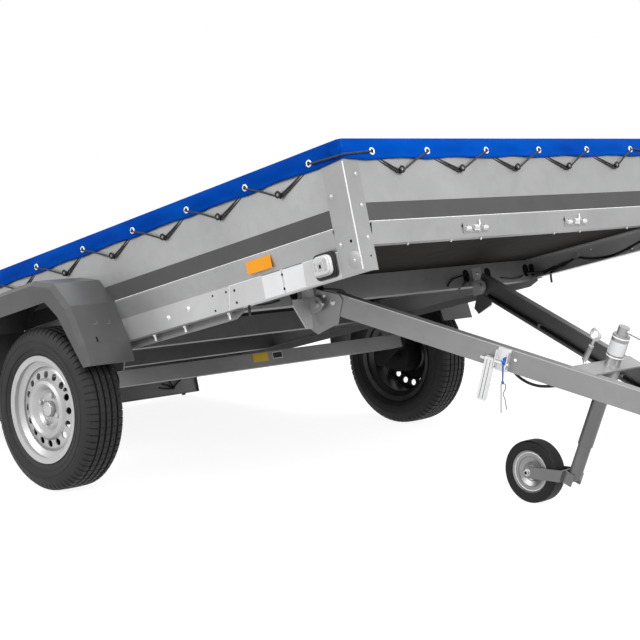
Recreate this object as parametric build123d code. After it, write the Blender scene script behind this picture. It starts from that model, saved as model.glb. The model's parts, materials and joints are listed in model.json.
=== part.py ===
from build123d import *
import math
import os

os.makedirs("parts", exist_ok=True)

# Single-axle tipping box trailer with a flat cover. It stands parked on its two wheels
# and its jockey wheel, with the drawbar lock released and the bed tipped nose-up.
#
# Units are millimetres and degrees. Three working frames are used:
#   chassis frame  origin at the wheel centre line, x forward along the bed, y left, z off the bed
#   drawbar frame  origin on the bed pivot, x forward along the drawbar, z off its top
#   jockey frame   origin on the jockey tube's axis, z up the tube

# ------------------------------------------------------------------ driving sizes
BED_TILT = 14.42          # nose-up angle of the bed over level ground
BAR_SLOPE = 15.55         # the drawbar falls towards its coupling
BAR_HALF_ANGLE = 17.46    # each beam of the V against the centre line

# box, in the chassis frame
FRONT_U = 1399.0          # outer face of the front wall, ahead of the axle
REAR_U = -1251.0          # outer face of the tailgate
HALF_WIDTH = 774.0        # outer faces of the corner posts
FRAME_BOTTOM = 164.0      # underside of the side rails
RAIL_HEIGHT = 75.0
FOLD_RISE = 61.0          # from the floor's underside up to the wall's fold
WALL_RISE = 298.0         # from the floor's underside up to the wall's top
SHEET = 1.5               # wall sheet
FOLD_OUT = 6.0            # the fold stands this far outside the panel
FOLD_STEP = 3.0
SILL_TUCK = 4.0           # the wall's foot tucks in under the fold
SILL_LIP = 40.0           # the wall's foot lip, under the floor
TOP_LIP = 20.0
FLOOR_T = 9.0
FLOOR_GAP = 2.0

POST_T = 2.0
POST_SIDE = 88.0          # width of a corner post along the side
POST_FRONT = 59.0         # width of a corner post across the front
PLATE_T = 2.0             # side plates outside the rails
SIDE_PLATE_LENGTH = 494.0
SIDE_PLATE_CHAMFER = 20.0
RAIL_T = 2.5
RAIL_FLANGE = 35.0
ANGLE_T = 3.0             # angle section under each rail, from the tail to the pivot
ANGLE_FLANGE = 31.0
ANGLE_DROP = 27.0
ANGLE_INSET = 3.0         # its flange lies this far inside the rail's web
ANGLE_FRONT_U = 844.0
ANGLE_NOSE = (40.0, 12.0) # its front end is cut off: (length, height of the square part)

# cross members, chassis frame
CROSS_T = RAIL_T
CROSS_DEPTH = 55.0
FRONT_CROSS_U = 815.0     # front face of the front cross member
FRONT_CROSS_BOTTOM = 160.0
MID_CROSS_U = (15.0, -660.0)
REAR_CROSS_FLANGE = 40.0

# bed pivot, chassis frame
PIVOT_U = 849.0
PIVOT_W = 151.0
PIVOT_BOLT_R = 7.0
PIVOT_BOLT_HEAD_R = 11.0
PIVOT_BOLT_HEAD = 7.0
PIVOT_FIT = 0.3
EAR_T = 5.0
EAR_GAP = 1.0
EAR_R = 26.0
OUTER_EAR_Y = 433.0
BRACKET_FLANGE_Y = 507.0
BRACKET_TIP_Y = 466.0
BRACKET_TIP_W = 80.0
BRACKET_HEEL_W = 120.0

# axle, chassis frame
AXLE_U = 110.0
AXLE_W = 56.0
AXLE_TUBE = 53.0
AXLE_WALL = 4.0
AXLE_INSET = 161.0        # the tube ends this far inside a wheel's middle plane
ARM_T = 14.0
ARM_R = 32.0
ARM_EYE_R = 28.0
ARM_DEPTH = 51.0
AXLE_BRACKET_T = 6.0
AXLE_BRACKET_LENGTH = 130.0
AXLE_BRACKET_WIDTH = 50.0
AXLE_BRACKET_FLARE = 8.0
STUB_R = 15.0
STUB_CLEAR = 2.0
WHEEL_GAP = 25.5          # between the wall's panel and the tyre

# wheels
TYRE_R = 273.5
TYRE_HALF = 78.5
TYRE_SHOULDER = (         # outside: (in from the widest point, down from the crown)
    (6.0, 80.0),
    (0.0, 55.5),
    (2.5, 33.5),
    (10.5, 15.5),
    (20.5, 5.5),
    (33.5, 1.5),
)
TYRE_LINING = (           # inside: (in from the widest point, down from the crown)
    (13.0, 78.0),
    (9.0, 56.0),
    (17.0, 26.0),
    (34.0, 14.0),
)
TYRE_CROWN_T = 13.0
BEAD_R = 166.0
BEAD_HALF = 62.0
BEAD_WIDTH = 10.0
BEAD_HEIGHT = 11.5
RIM_LIP_R = 181.5
RIM_LIP_HALF = 66.0
RIM_SEAT = (1.0, 12.0)    # the bead seat runs from outside to inside the bead's edge
RIM_WELL_R = 146.0
RIM_WELL_INSET = 22.0
RIM_T = 3.5
DISC_FACE_Y = 56.0        # disc crest outboard of the rim's middle plane
DISC_T = 4.0
DISC_DISH = 27.0          # the bolting face lies this far behind the crest
DISC_LINE = (             # (behind the crest, radius), between the bolting face and the well
    (19.0, 66.0),
    (5.0, 79.0),
    (0.0, 86.0),
    (3.0, 94.0),
    (14.0, 103.0),
    (18.0, 130.0),
)
DISC_FACE_R = 54.0        # outer radius of the bolting face
DISC_EDGE = 27.0          # the disc meets the well this far behind its crest
HUB_R = 62.0
HUB_LENGTH = 52.0
HUB_WALL = 4.0
HUB_BORE_R = 27.0
HUB_CAP_R = 25.0
HUB_CAP_OUT = 15.0
VENT_RING_R = 116.0
VENT_R = 12.0
VENT_COUNT = 16
HUB_CLEAR = 1.0

# fenders, chassis frame: half of the outline from the front foot to the crown
FENDER_OUTLINE = (        # (ahead of the axle, above the axle)
    (325.0, 95.0),
    (316.0, 166.0),
    (273.0, 300.0),
    (205.0, 388.0),
    (100.0, 418.0),
)
FENDER_MOUTH = (          # the wheel opening in the outer skirt
    (303.0, 95.0),
    (213.0, 278.0),
    (157.0, 336.0),
)
FENDER_COVER = 15.5       # the fender covers the tyre by this much
FENDER_T = 3.0
FENDER_BEVEL = 15.0
FENDER_FLANGE = 28.0      # the fender's flange on the wall hangs this far inside it

# drawbar, in the drawbar frame
BEAM_REAR_X = 36.0
BEAM_REAR_Y = 397.0
BEAM_TOP = 50.0
BEAM_HEIGHT = 71.0
BEAM_FLANGE = 28.0
BEAM_T = 3.0
BEAM_NOSE_Y = 32.0        # half the gap between the webs at the nose
PENTAGON = (              # pivot plate on the beam's web: (along the beam from its rear end, z)
    (-63.0, 42.0),
    (17.0, 48.0),
    (32.0, 34.0),
    (32.0, -45.0),
    (-29.0, -100.0),
    (-61.0, -90.0),
)
PENTAGON_T = 5.0
COUPLING_LAP = 115.0      # the coupling's shank lies this far back along the beams
COUPLING_REACH = 85.0     # ball centre ahead of the beams' ends
COUPLING_HALF = 29.0
COUPLING_RISE = 40.0
COUPLING_T = 4.0
COUPLING_GRIP_HALF = 14.0
COUPLING_GRIP = (         # handle: (ahead of the ball's centre, above the head)
    (-10.0, 0.0),
    (14.0, 0.0),
    (14.0, 10.0),
    (-80.0, 34.0),
    (-88.0, 26.0),
    (-30.0, 8.0),
    (-34.0, 0.0),
)
BALL_Z = 62.0
BALL_SKIRT = 14.0
BALL_R = 25.0
BALL_SHELL = 4.0
BALL_FIT = 0.5

# bridge plate that carries the jockey clamp, drawbar frame
BRIDGE_X = (796.0, 872.0)
BRIDGE_T = 5.0
BRIDGE_INSET = 2.0        # the plate's edges lie this far inside the webs' outer faces
CLAMP_LUG = 20.0
CLAMP_LUG_Z = (18.0, 44.0)
CLAMP_LUG_HALF = 9.0
HANDLE_POINTS = ((784.0, 24.0), (748.0, 20.0), (738.0, 34.0), (757.0, 112.0))
HANDLE_R = 5.0
HANDLE_BEND = 8.0
HANDLE_RING_R = 15.5

# jockey wheel
JOCKEY_X = 832.0          # tube axis ahead of the bed pivot, along the drawbar
JOCKEY_LEAN = 4.8         # the tube leans this much beyond square to the drawbar
JOCKEY_OUTER_R = 24.0
JOCKEY_INNER_R = 21.0
JOCKEY_WALL = 2.5
JOCKEY_OUTER_TOP = 85.0
JOCKEY_OUTER_BOTTOM = -215.0
JOCKEY_INNER_BOTTOM = -330.0
JOCKEY_FIT = 0.5
JOCKEY_STROKE_UP = 88.0
HEAD_R = 27.0
HEAD_TOP = 157.0
CAP_R = 17.5
CAP_TOP = 184.0
CRANK_ROD_R = 6.0
CRANK_REACH = 150.0
CRANK_GRIP = 95.0
CRANK_GRIP_R = 12.0
CRANK_STEM = 16.0
CRANK_DROP = 4.0          # the rod enters the cap this far under its top
CLAMP_R = 31.0
CLAMP_Z = (12.0, 52.0)
JOCKEY_WHEEL_R = 100.0
JOCKEY_WHEEL_X = 1320.0   # ahead of the axle, on level ground
JOCKEY_TYRE_HALF = 29.0
JOCKEY_TYRE_LINE = (      # (in from the tyre's side, down from its crown)
    (0.0, 14.0),
    (1.5, 5.0),
    (6.0, 0.5),
)
JOCKEY_RIM_R = 62.0
JOCKEY_SEAT_R = 68.0
JOCKEY_RIM_EDGE = 3.0     # the rim's edges lie this far inside the tyre's sides
JOCKEY_RIM_INSET = 8.0
JOCKEY_DISH = (           # (in from the tyre's side, radius)
    (8.0, 48.0),
    (16.0, 26.0),
)
JOCKEY_HUB_R = 20.0
JOCKEY_HUB_OUT = 1.5
JOCKEY_AXLE_R = 6.0
JOCKEY_AXLE_OUT = 6.0
JOCKEY_TUBE_FLOOR = 6.0
JOCKEY_TUBE_SPARE = 5.0
FORK_ARM_Y = 34.5         # inner face of each fork arm
FORK_ARM_T = 5.0
FORK_ARM_W = 36.0
FORK_CHEEK_Y = 22.0       # inner face of the cheeks beside the tube's foot
FORK_NOSE = 12.0          # the cheeks reach this far ahead of the tube's axis
FORK_BACK = 23.0          # the web between cheeks and arms stands this far behind it
FORK_RISE = 18.0          # all of them reach this far above the crown
FORK_DROP = 22.0          # and this far below it
FORK_CROWN_T = 6.0
FORK_GAP = 1.0

# cover
COVER_T = 3.0
COVER_OUT = 3.0           # gap between a corner post and the skirt
COVER_SKIRT = 58.0

# cover hooks
HOOK_PITCH = 273.0
HOOK_W = 448.0
HOOK_R = 8.5
HOOK_OUT = 13.0
HOOK_HEAD_T = 6.0
HOOK_STEM_R = 4.0
SIDE_HOOK_FIRST_U = 1130.0
SIDE_HOOK_COUNT = 9
FRONT_HOOK_STEPS = (-2, -1, 0, 1, 2)

# lamps and plates, chassis frame
MARKER_U = (1216.0, 1303.0)
MARKER_W = (170.0, 246.0)
MARKER_OUT = 26.0
MARKER_BASE = 10.0
MARKER_RIM = 8.0          # the base shows this much around the lens
REFLECTOR_U = (939.0, 1042.0)
REFLECTOR_W = (250.0, 288.0)
REFLECTOR_T = 6.0
REFLECTOR_SINK = 1.5      # its back lies this far inside the fold
LAMP_BOARD_BOTTOM = 53.0
LAMP_BOARD_T = 3.0
LAMP_BOARD_LIP = 15.0
LAMP_BOARD_INSET = 9.0    # the board ends this far inside the posts' outer faces
REAR_LAMP = (60.0, 230.0, 80.0)   # depth, width, height

# tailgate
GATE_T = 14.0
GATE_GAP = 7.0
GATE_SIDE_GAP = 6.0
GATE_TOP_GAP = 7.0
GATE_HINGE_BACK = 8.0     # hinge axis behind the gate's outer face
GATE_HINGE_W = 232.0
GATE_HINGE_Y = (-520.0, 0.0, 520.0)
GATE_HINGE_PIN_R = 5.0
GATE_HINGE_EYE_R = 9.0
GATE_HINGE_EYE = 40.0
GATE_HINGE_LEAF = 60.0
GATE_HINGE_T = 3.0
GATE_HINGE_KNUCKLE = 14.0
GATE_HINGE_SIDE_GAP = 1.0

# drawbar lock on the right beam, in the drawbar frame
LOCK_ALONG = (571.0, 612.0)
LOCK_OUT = 26.0
LOCK_TOP_Z = 47.0
LOCK_BOTTOM_Z = -26.0
LOCK_T = 3.0
LOCK_PIN_R = 4.0
LOCK_PIN_ALONG = (524.0, 616.0)
LOCK_PIN_Z = 2.0
LOCK_PIN_OUT = 14.0
LEVER_WIDTH = 28.0
LEVER_GAP = 2.0           # between the lever and the bracket
LEVER_DEPTH = 20.0
LEVER_Z = -126.0
LEVER_T = 2.5
LOCK_FLANGE_INSET = (14.0, 6.0)   # the bracket's side flanges stop short: (below, above)
WEB_HOLE_ALONG = 628.0
WEB_HOLE_Z = 20.0
WEB_HOLE_R = 5.0
CATCH_Y = 257.0
CATCH_WIDTH = 116.0
CATCH_W = (252.0, 282.0)
CATCH_T = 3.0

# wiring held in both beams, along a beam from its rear end
RUN_SHARE = 0.45              # each bend of a cord takes up to this share of a run
CABLE_R = 4.5
CABLE_GAP = 0.3
CABLE_FREE = 3.0              # off the lower flange's edge where it hangs
CABLE_ENDS = (20.0, 60.0)     # short of the beam's rear end and of its nose
CABLE_SLANT = 40.0            # the right one leaves its corner over this length
CABLE_HANG = (                # and hangs out of the beam here: (along, below the beam)
    (576.0, -8.0),
    (602.0, -8.0),
    (636.0, 16.0),
    (672.0, 26.0),
    (708.0, 25.0),
    (748.0, 12.0),
    (792.0, -8.0),
    (818.0, -8.0),
)

# string on the lock bracket, with the pin's spring clip at its end
STRING_R = 1.6
STRING_Z = 16.0
STRING_ROUTE = (          # from the back of the bracket's front flange: (ahead, inward, up)
    (0.0, 0.0, 0.0),
    (-5.515, -1.8, 1.535),
    (-8.5, -9.5, -3.0),
    (-9.0, -12.0, -16.0),
    (-9.0, -12.3, -42.0),
    (-8.8, -12.0, -68.0),
)
CLIP_R = 1.5
CLIP_BEND = 4.0
CLIP_GAP = 0.3
CLIP_LINE = (             # (along the beam, below the string's end)
    (-5.0, 90.0),
    (-5.0, 0.0),
    (9.0, 0.0),
    (10.0, 14.0),
    (1.0, 30.0),
    (8.0, 48.0),
    (13.0, 78.0),
)

# ------------------------------------------------------------------ worked-out places
SILL_W = FRAME_BOTTOM + RAIL_HEIGHT
FOLD_W = SILL_W + FOLD_RISE
WALL_TOP = SILL_W + WALL_RISE
PANEL_Y = HALF_WIDTH - POST_T
PANEL_FRONT_U = FRONT_U - POST_T
WHEEL_Y = PANEL_Y + WHEEL_GAP + TYRE_HALF
AXLE_HALF = WHEEL_Y - AXLE_INSET
FENDER_OUT_Y = WHEEL_Y + TYRE_HALF + FENDER_COVER
LAMP_BOARD_Y = HALF_WIDTH - LAMP_BOARD_INSET
ANGLE_Y = PANEL_Y - ANGLE_INSET
HUB_FACE = DISC_FACE_Y - DISC_DISH
LEVER_ALONG = LOCK_ALONG[0] - LEVER_GAP - LEVER_WIDTH / 2
SIDE_REAR_U = REAR_U + GATE_T + GATE_GAP

CHASSIS = Location((0, 0, TYRE_R), (0, -BED_TILT, 0))
PIVOT_POINT = (CHASSIS * Pos(PIVOT_U, 0, PIVOT_W)).position
DRAWBAR = Location((PIVOT_POINT.X, 0, PIVOT_POINT.Z), (0, BAR_SLOPE, 0))
JOCKEY_POINT = (DRAWBAR * Pos(JOCKEY_X, 0, 0)).position
JOCKEY = Location((JOCKEY_POINT.X, 0, JOCKEY_POINT.Z), (0, BAR_SLOPE + JOCKEY_LEAN, 0))
BEAM_LENGTH = (BEAM_REAR_Y - BEAM_NOSE_Y) / math.sin(math.radians(BAR_HALF_ANGLE))
NOSE_X = BEAM_REAR_X + BEAM_LENGTH * math.cos(math.radians(BAR_HALF_ANGLE))
BALL_X = NOSE_X + COUPLING_REACH

PIECES = {}
LOW = (Align.CENTER, Align.CENTER, Align.MIN)
FAR = 150.0               # a cutter reaches this far past what it cuts
OVER = 1.0                # or this far, where little room is left


# ------------------------------------------------------------------ shapes
def block(xs, ys, zs):
    """A box between two values along each axis."""
    centre = [(a + b) / 2 for a, b in (xs, ys, zs)]
    sides = [abs(b - a) for a, b in (xs, ys, zs)]
    return Pos(*centre) * Box(*sides)


def rod(start, end, radius):
    """A round bar from one point to another."""
    axis = Vector(*end) - Vector(*start)
    return Plane(origin=start, z_dir=axis) * Cylinder(radius, axis.length, align=LOW)


def rod_y(x, z, ys, radius):
    return rod((x, ys[0], z), (x, ys[1], z), radius)


def plate_xz(points, ys):
    """An outline of (x, z) points, thick along y."""
    side = Plane(origin=(0, max(ys), 0), x_dir=(1, 0, 0), z_dir=(0, -1, 0))
    return extrude(side * make_face(Polyline(*points, close=True)), abs(ys[1] - ys[0]))


def plate_xy(points, zs):
    """An outline of (x, y) points, thick along z."""
    base = Plane(origin=(0, 0, min(zs)))
    return extrude(base * make_face(Polyline(*points, close=True)), abs(zs[1] - zs[0]))


def section_x(points, xs):
    """A section of (y, z) points, drawn out along x."""
    base = Plane(origin=(min(xs), 0, 0), x_dir=(0, 1, 0), z_dir=(1, 0, 0))
    return extrude(base * make_face(Polyline(*points, close=True)), abs(xs[1] - xs[0]))


def folded(points, thickness):
    """Closes a sheet's section: the points, and the same line moved left by its thickness."""
    count = len(points)
    normals = []
    for (x0, y0), (x1, y1) in zip(points, points[1:]):
        run = math.hypot(x1 - x0, y1 - y0)
        normals.append(((y0 - y1) / run, (x1 - x0) / run))
    inner = []
    for i in range(count):
        before = normals[max(i - 1, 0)]
        after = normals[min(i, count - 2)]
        scale = thickness / (1 + before[0] * after[0] + before[1] * after[1])
        x, y = points[i]
        inner.append((x + (before[0] + after[0]) * scale, y + (before[1] + after[1]) * scale))
    return list(points) + inner[::-1]


def turned(points):
    """Revolves a section of (across, radius) points about the y axis."""
    face = Plane.YZ * make_face(Polyline(*points, close=True))
    return revolve(face, Axis.Y)


def both_sides(shape):
    return mirror(shape, about=Plane.XZ)


def one(shapes):
    """Fuses a list of touching shapes into one solid."""
    body = shapes[0]
    for extra in shapes[1:]:
        body = body + extra
    return body


def keep(name, shape, frame):
    PIECES[name] = frame * shape


# ------------------------------------------------------------------ box
def wall_section(out, half_lip=SILL_LIP):
    """Section of a wall: distance outward and height, from its foot lip to its top lip."""
    line = [
        (out - half_lip, SILL_W - SHEET),
        (out - SILL_TUCK, SILL_W - SHEET),
        (out + FOLD_OUT, FOLD_W - FOLD_STEP),
        (out + FOLD_OUT, FOLD_W),
        (out, FOLD_W + FOLD_STEP),
        (out, WALL_TOP),
        (out - TOP_LIP, WALL_TOP),
    ]
    return folded(line, SHEET)


def post_zone(u0, u1):
    """The space taken by a left corner post's flange, outside the panel."""
    return block((u0, u1), (PANEL_Y, PANEL_Y + FAR), (FRAME_BOTTOM, WALL_TOP + OVER))


def side_wall():
    wall = section_x(wall_section(PANEL_Y), (SIDE_REAR_U, PANEL_FRONT_U))
    wall = wall - post_zone(FRONT_U - POST_SIDE, FRONT_U)
    return wall - post_zone(SIDE_REAR_U, SIDE_REAR_U + POST_SIDE)


def front_wall():
    inside = PANEL_Y - SHEET
    panel = plate_xz(wall_section(PANEL_FRONT_U), (-inside, inside))
    depth = (PANEL_FRONT_U - FAR, PANEL_FRONT_U + FAR)
    under = SILL_W - SHEET - OVER
    lips = block(depth, (inside - SILL_LIP, inside + OVER), (under, SILL_W))
    rims = block(depth, (inside - TOP_LIP, inside + OVER), (WALL_TOP - SHEET - OVER, WALL_TOP + OVER))
    corner = block((PANEL_FRONT_U, PANEL_FRONT_U + FAR), (inside - POST_FRONT, inside + OVER),
                   (FRAME_BOTTOM, WALL_TOP + OVER))
    foot = block(depth, (inside - SILL_TUCK, inside + OVER), (under, FOLD_W))
    for cut in (lips, rims, corner, foot):
        panel = panel - cut - both_sides(cut)
    return panel


def corner_post():
    """Front left post: an L of sheet, with its corner outward."""
    line = [
        (FRONT_U - POST_SIDE, HALF_WIDTH),
        (FRONT_U, HALF_WIDTH),
        (FRONT_U, HALF_WIDTH - POST_FRONT),
    ]
    outline = folded(line, -POST_T)
    return plate_xy(outline, (FRAME_BOTTOM, WALL_TOP))


def rear_post():
    """Rear left post: its inward flange is what the tailgate closes on."""
    line = [
        (SIDE_REAR_U + POST_SIDE, HALF_WIDTH),
        (SIDE_REAR_U - POST_T, HALF_WIDTH),
        (SIDE_REAR_U - POST_T, HALF_WIDTH - POST_FRONT),
    ]
    outline = folded(line, POST_T)
    return plate_xy(outline, (FRAME_BOTTOM, WALL_TOP))


def side_rail():
    """C-section rail under the wall, open towards the middle."""
    top = SILL_W - SHEET
    line = [
        (PANEL_Y - RAIL_FLANGE, FRAME_BOTTOM),
        (PANEL_Y, FRAME_BOTTOM),
        (PANEL_Y, top),
        (PANEL_Y - RAIL_FLANGE, top),
    ]
    return section_x(folded(line, RAIL_T), (SIDE_REAR_U, PANEL_FRONT_U))


def side_plate():
    """Outer plate over the front of the rail, between its chamfered tail and the post."""
    front = FRONT_U - POST_SIDE
    back = front - SIDE_PLATE_LENGTH
    top = SILL_W - SHEET
    outline = [
        (back, FRAME_BOTTOM),
        (front, FRAME_BOTTOM),
        (front, top),
        (back + SIDE_PLATE_CHAMFER, top),
    ]
    return plate_xz(outline, (PANEL_Y, PANEL_Y + PLATE_T))


def channel_y(front_u, bottom, height, depth, thickness):
    """C-section cross member with its web forward, between the rails' webs."""
    line = [
        (front_u - depth, bottom + height),
        (front_u, bottom + height),
        (front_u, bottom),
        (front_u - depth, bottom),
    ]
    reach = PANEL_Y - RAIL_T
    member = plate_xz(folded(line, -thickness), (-reach, reach))
    low = FRAME_BOTTOM + RAIL_T
    high = SILL_W - SHEET - RAIL_T
    flange = PANEL_Y - RAIL_FLANGE
    for zs in ((low - FAR, low), (high, high + FAR)):
        notch = block((front_u - depth - OVER, front_u + OVER), (flange, reach + OVER), zs)
        member = member - notch - both_sides(notch)
    return member


def floor_panel():
    edge = PANEL_Y - SILL_TUCK - SHEET - FLOOR_GAP
    front = PANEL_FRONT_U - SILL_TUCK - SHEET - FLOOR_GAP
    return block((SIDE_REAR_U, front), (-edge, edge), (SILL_W, SILL_W + FLOOR_T))


def side_angle():
    """Left angle section under the rail, its front end cut off at a slant."""
    line = [
        (ANGLE_Y - ANGLE_FLANGE, FRAME_BOTTOM - ANGLE_DROP),
        (ANGLE_Y - ANGLE_FLANGE, FRAME_BOTTOM),
        (ANGLE_Y, FRAME_BOTTOM),
    ]
    bar = section_x(folded(line, -ANGLE_T), (SIDE_REAR_U + LAMP_BOARD_LIP, ANGLE_FRONT_U))
    cut_length, nose = ANGLE_NOSE
    bottom = FRAME_BOTTOM - ANGLE_DROP
    corner = [
        (ANGLE_FRONT_U - cut_length, bottom),
        (ANGLE_FRONT_U, FRAME_BOTTOM - nose),
        (ANGLE_FRONT_U + OVER, bottom - OVER),
    ]
    return bar - plate_xz(corner, (ANGLE_Y - FAR, ANGLE_Y + OVER))


# ------------------------------------------------------------------ axle
AXLE_CORNER = AXLE_TUBE / 2


def axle_beam():
    outer = block((AXLE_U - AXLE_CORNER, AXLE_U + AXLE_CORNER), (-AXLE_HALF, AXLE_HALF),
                  (AXLE_W - AXLE_CORNER, AXLE_W + AXLE_CORNER))
    hollow = AXLE_CORNER - AXLE_WALL
    inner = block((AXLE_U - hollow, AXLE_U + hollow), (-AXLE_HALF, AXLE_HALF),
                  (AXLE_W - hollow, AXLE_W + hollow))
    return outer - inner


def axle_bracket():
    """Left mounting bracket, from the axle tube up to the angle under the rail."""
    top = FRAME_BOTTOM
    half = AXLE_BRACKET_LENGTH / 2
    outer_y = ANGLE_Y - ANGLE_FLANGE
    inner_y = outer_y - AXLE_BRACKET_WIDTH
    foot = block((AXLE_U - half, AXLE_U + half), (inner_y, outer_y), (top - AXLE_BRACKET_T, top))
    web_outline = [
        (AXLE_U - half, top - AXLE_BRACKET_T),
        (AXLE_U + half, top - AXLE_BRACKET_T),
        (AXLE_U + AXLE_CORNER + AXLE_BRACKET_FLARE, AXLE_W + AXLE_CORNER),
        (AXLE_U - AXLE_CORNER - AXLE_BRACKET_FLARE, AXLE_W + AXLE_CORNER),
    ]
    web = plate_xz(web_outline, (inner_y, inner_y + AXLE_BRACKET_T))
    return foot + web


def swing_arm():
    """Left trailing arm with its stub axle."""
    y0 = AXLE_HALF
    y1 = AXLE_HALF + ARM_T
    boss = rod_y(AXLE_U, AXLE_W, (y0, y1), ARM_R)
    eye = rod_y(0, 0, (y0, y1), ARM_EYE_R)
    run = math.hypot(AXLE_U, AXLE_W)
    web = Pos(AXLE_U / 2, (y0 + y1) / 2, AXLE_W / 2)
    web = web * Rot(0, -math.degrees(math.atan2(AXLE_W, AXLE_U)), 0) * Box(run, ARM_T, ARM_DEPTH)
    stub = rod_y(0, 0, (y0, WHEEL_Y + HUB_FACE - HUB_WALL - STUB_CLEAR), STUB_R)
    return one([boss, eye, web, stub])


# ------------------------------------------------------------------ wheels, about their own centre
def tyre():
    outer = [
        (BEAD_HALF - BEAD_WIDTH, BEAD_R),
        (BEAD_HALF, BEAD_R),
        (BEAD_HALF, BEAD_R + BEAD_HEIGHT),
    ]
    outer = outer + [(TYRE_HALF - inset, TYRE_R - drop) for inset, drop in TYRE_SHOULDER]
    inner = [(BEAD_HALF - BEAD_WIDTH, RIM_LIP_R)]
    inner = inner + [(TYRE_HALF - inset, TYRE_R - drop) for inset, drop in TYRE_LINING]
    half = outer + [(0, TYRE_R), (0, TYRE_R - TYRE_CROWN_T)] + inner[::-1]
    right = turned(half)
    return right + both_sides(right)


def rim():
    """Barrel and disc, with the disc face towards +y."""
    seat_out, seat_in = RIM_SEAT
    side = [
        (RIM_LIP_HALF, RIM_LIP_R),
        (BEAD_HALF + seat_out, BEAD_R),
        (BEAD_HALF - seat_in, BEAD_R),
        (BEAD_HALF - RIM_WELL_INSET, RIM_WELL_R),
    ]
    barrel = turned(folded(side + [(-across, radius) for across, radius in side[::-1]], RIM_T))
    disc_line = [(HUB_FACE, HUB_BORE_R), (HUB_FACE, DISC_FACE_R)]
    disc_line = disc_line + [(DISC_FACE_Y - behind, radius) for behind, radius in DISC_LINE]
    disc_line = disc_line + [(DISC_FACE_Y - DISC_EDGE, RIM_WELL_R)]
    disc = turned(folded(disc_line, -DISC_T))
    body = barrel + disc
    vent = Pos(0, DISC_FACE_Y, VENT_RING_R) * Rot(90, 0, 0) * Cylinder(VENT_R, 2 * DISC_EDGE)
    for i in range(VENT_COUNT):
        body = body - Rot(0, (i + 0.5) * 360 / VENT_COUNT, 0) * vent
    return body


def hub():
    """Hub drum behind the disc, turning on the stub axle, with its cap through the bore."""
    drum = rod_y(0, 0, (-HUB_LENGTH, HUB_FACE), HUB_R)
    drum = drum - rod_y(0, 0, (-HUB_LENGTH - OVER, HUB_FACE - HUB_WALL), STUB_R + HUB_CLEAR)
    cap = rod_y(0, 0, (HUB_FACE, HUB_FACE + DISC_T + HUB_CAP_OUT), HUB_CAP_R)
    return drum + cap


# ------------------------------------------------------------------ fenders
def fender_solid(inset, out_y, foot):
    """The filled form of a left fender, inset by a wall's thickness."""
    line = [(u, w) for u, w in FENDER_OUTLINE]
    line = line + [(-u, w) for u, w in line[::-1]]
    if inset:
        line = folded(line, inset)[len(line):][::-1]
        line[0] = (line[0][0], foot)
        line[-1] = (line[-1][0], foot)
    return plate_xz(line, (PANEL_Y, out_y))


def bevelled(body, foot, bevel):
    """Cuts the outer edges of a fender's form, but not its feet."""
    edges = body.faces().sort_by(Axis.Y)[-1].edges()
    return chamfer([e for e in edges if e.center().Z > foot + OVER], bevel)


def fender():
    foot = FENDER_OUTLINE[0][1]
    outer = bevelled(fender_solid(0, FENDER_OUT_Y, foot), foot, FENDER_BEVEL)
    below = foot - FAR
    inner = bevelled(fender_solid(FENDER_T, FENDER_OUT_Y - FENDER_T, below), below,
                     FENDER_BEVEL - FENDER_T / 2)
    shell = outer - inner
    mouth = [(u, w) for u, w in FENDER_MOUTH]
    mouth = [(mouth[0][0], below)] + mouth
    mouth = mouth + [(-u, w) for u, w in mouth[::-1]]
    shell = shell - plate_xz(mouth, (FENDER_OUT_Y - TYRE_HALF, FENDER_OUT_Y + OVER))
    reach = FENDER_OUTLINE[0][0] + OVER
    above = FOLD_W + FOLD_STEP
    fold = block((-reach, reach), (PANEL_Y - OVER, PANEL_Y + FOLD_OUT), (foot - OVER, above))
    flange = fender_solid(FENDER_T / 2, PANEL_Y + FENDER_T, foot)
    flange = flange - fender_solid(FENDER_FLANGE, PANEL_Y + FENDER_T + OVER, foot)
    flange = flange & block((-reach, reach), (PANEL_Y, PANEL_Y + FENDER_T), (above, above + reach))
    return shell - fold + flange


# ------------------------------------------------------------------ drawbar, in its own frame
def beam_frame():
    """Frame along the left beam: x forward along it from its rear end, y outward, z up."""
    return Location((BEAM_REAR_X, BEAM_REAR_Y, 0), (0, 0, -BAR_HALF_ANGLE))


def beam():
    """C-section, web outside, open towards the middle."""
    line = [
        (-BEAM_FLANGE, BEAM_TOP - BEAM_HEIGHT),
        (0, BEAM_TOP - BEAM_HEIGHT),
        (0, BEAM_TOP),
        (-BEAM_FLANGE, BEAM_TOP),
    ]
    return section_x(folded(line, BEAM_T), (0, BEAM_LENGTH))


def pivot_plate():
    """Flat plate on the web of the left beam, in the beam's frame."""
    return plate_xz(PENTAGON, (0, PENTAGON_T))


def pivot_bore():
    return rod_y(0, 0, (BEAM_REAR_Y - FAR, BEAM_REAR_Y + FAR), PIVOT_BOLT_R + PIVOT_FIT)


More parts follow.
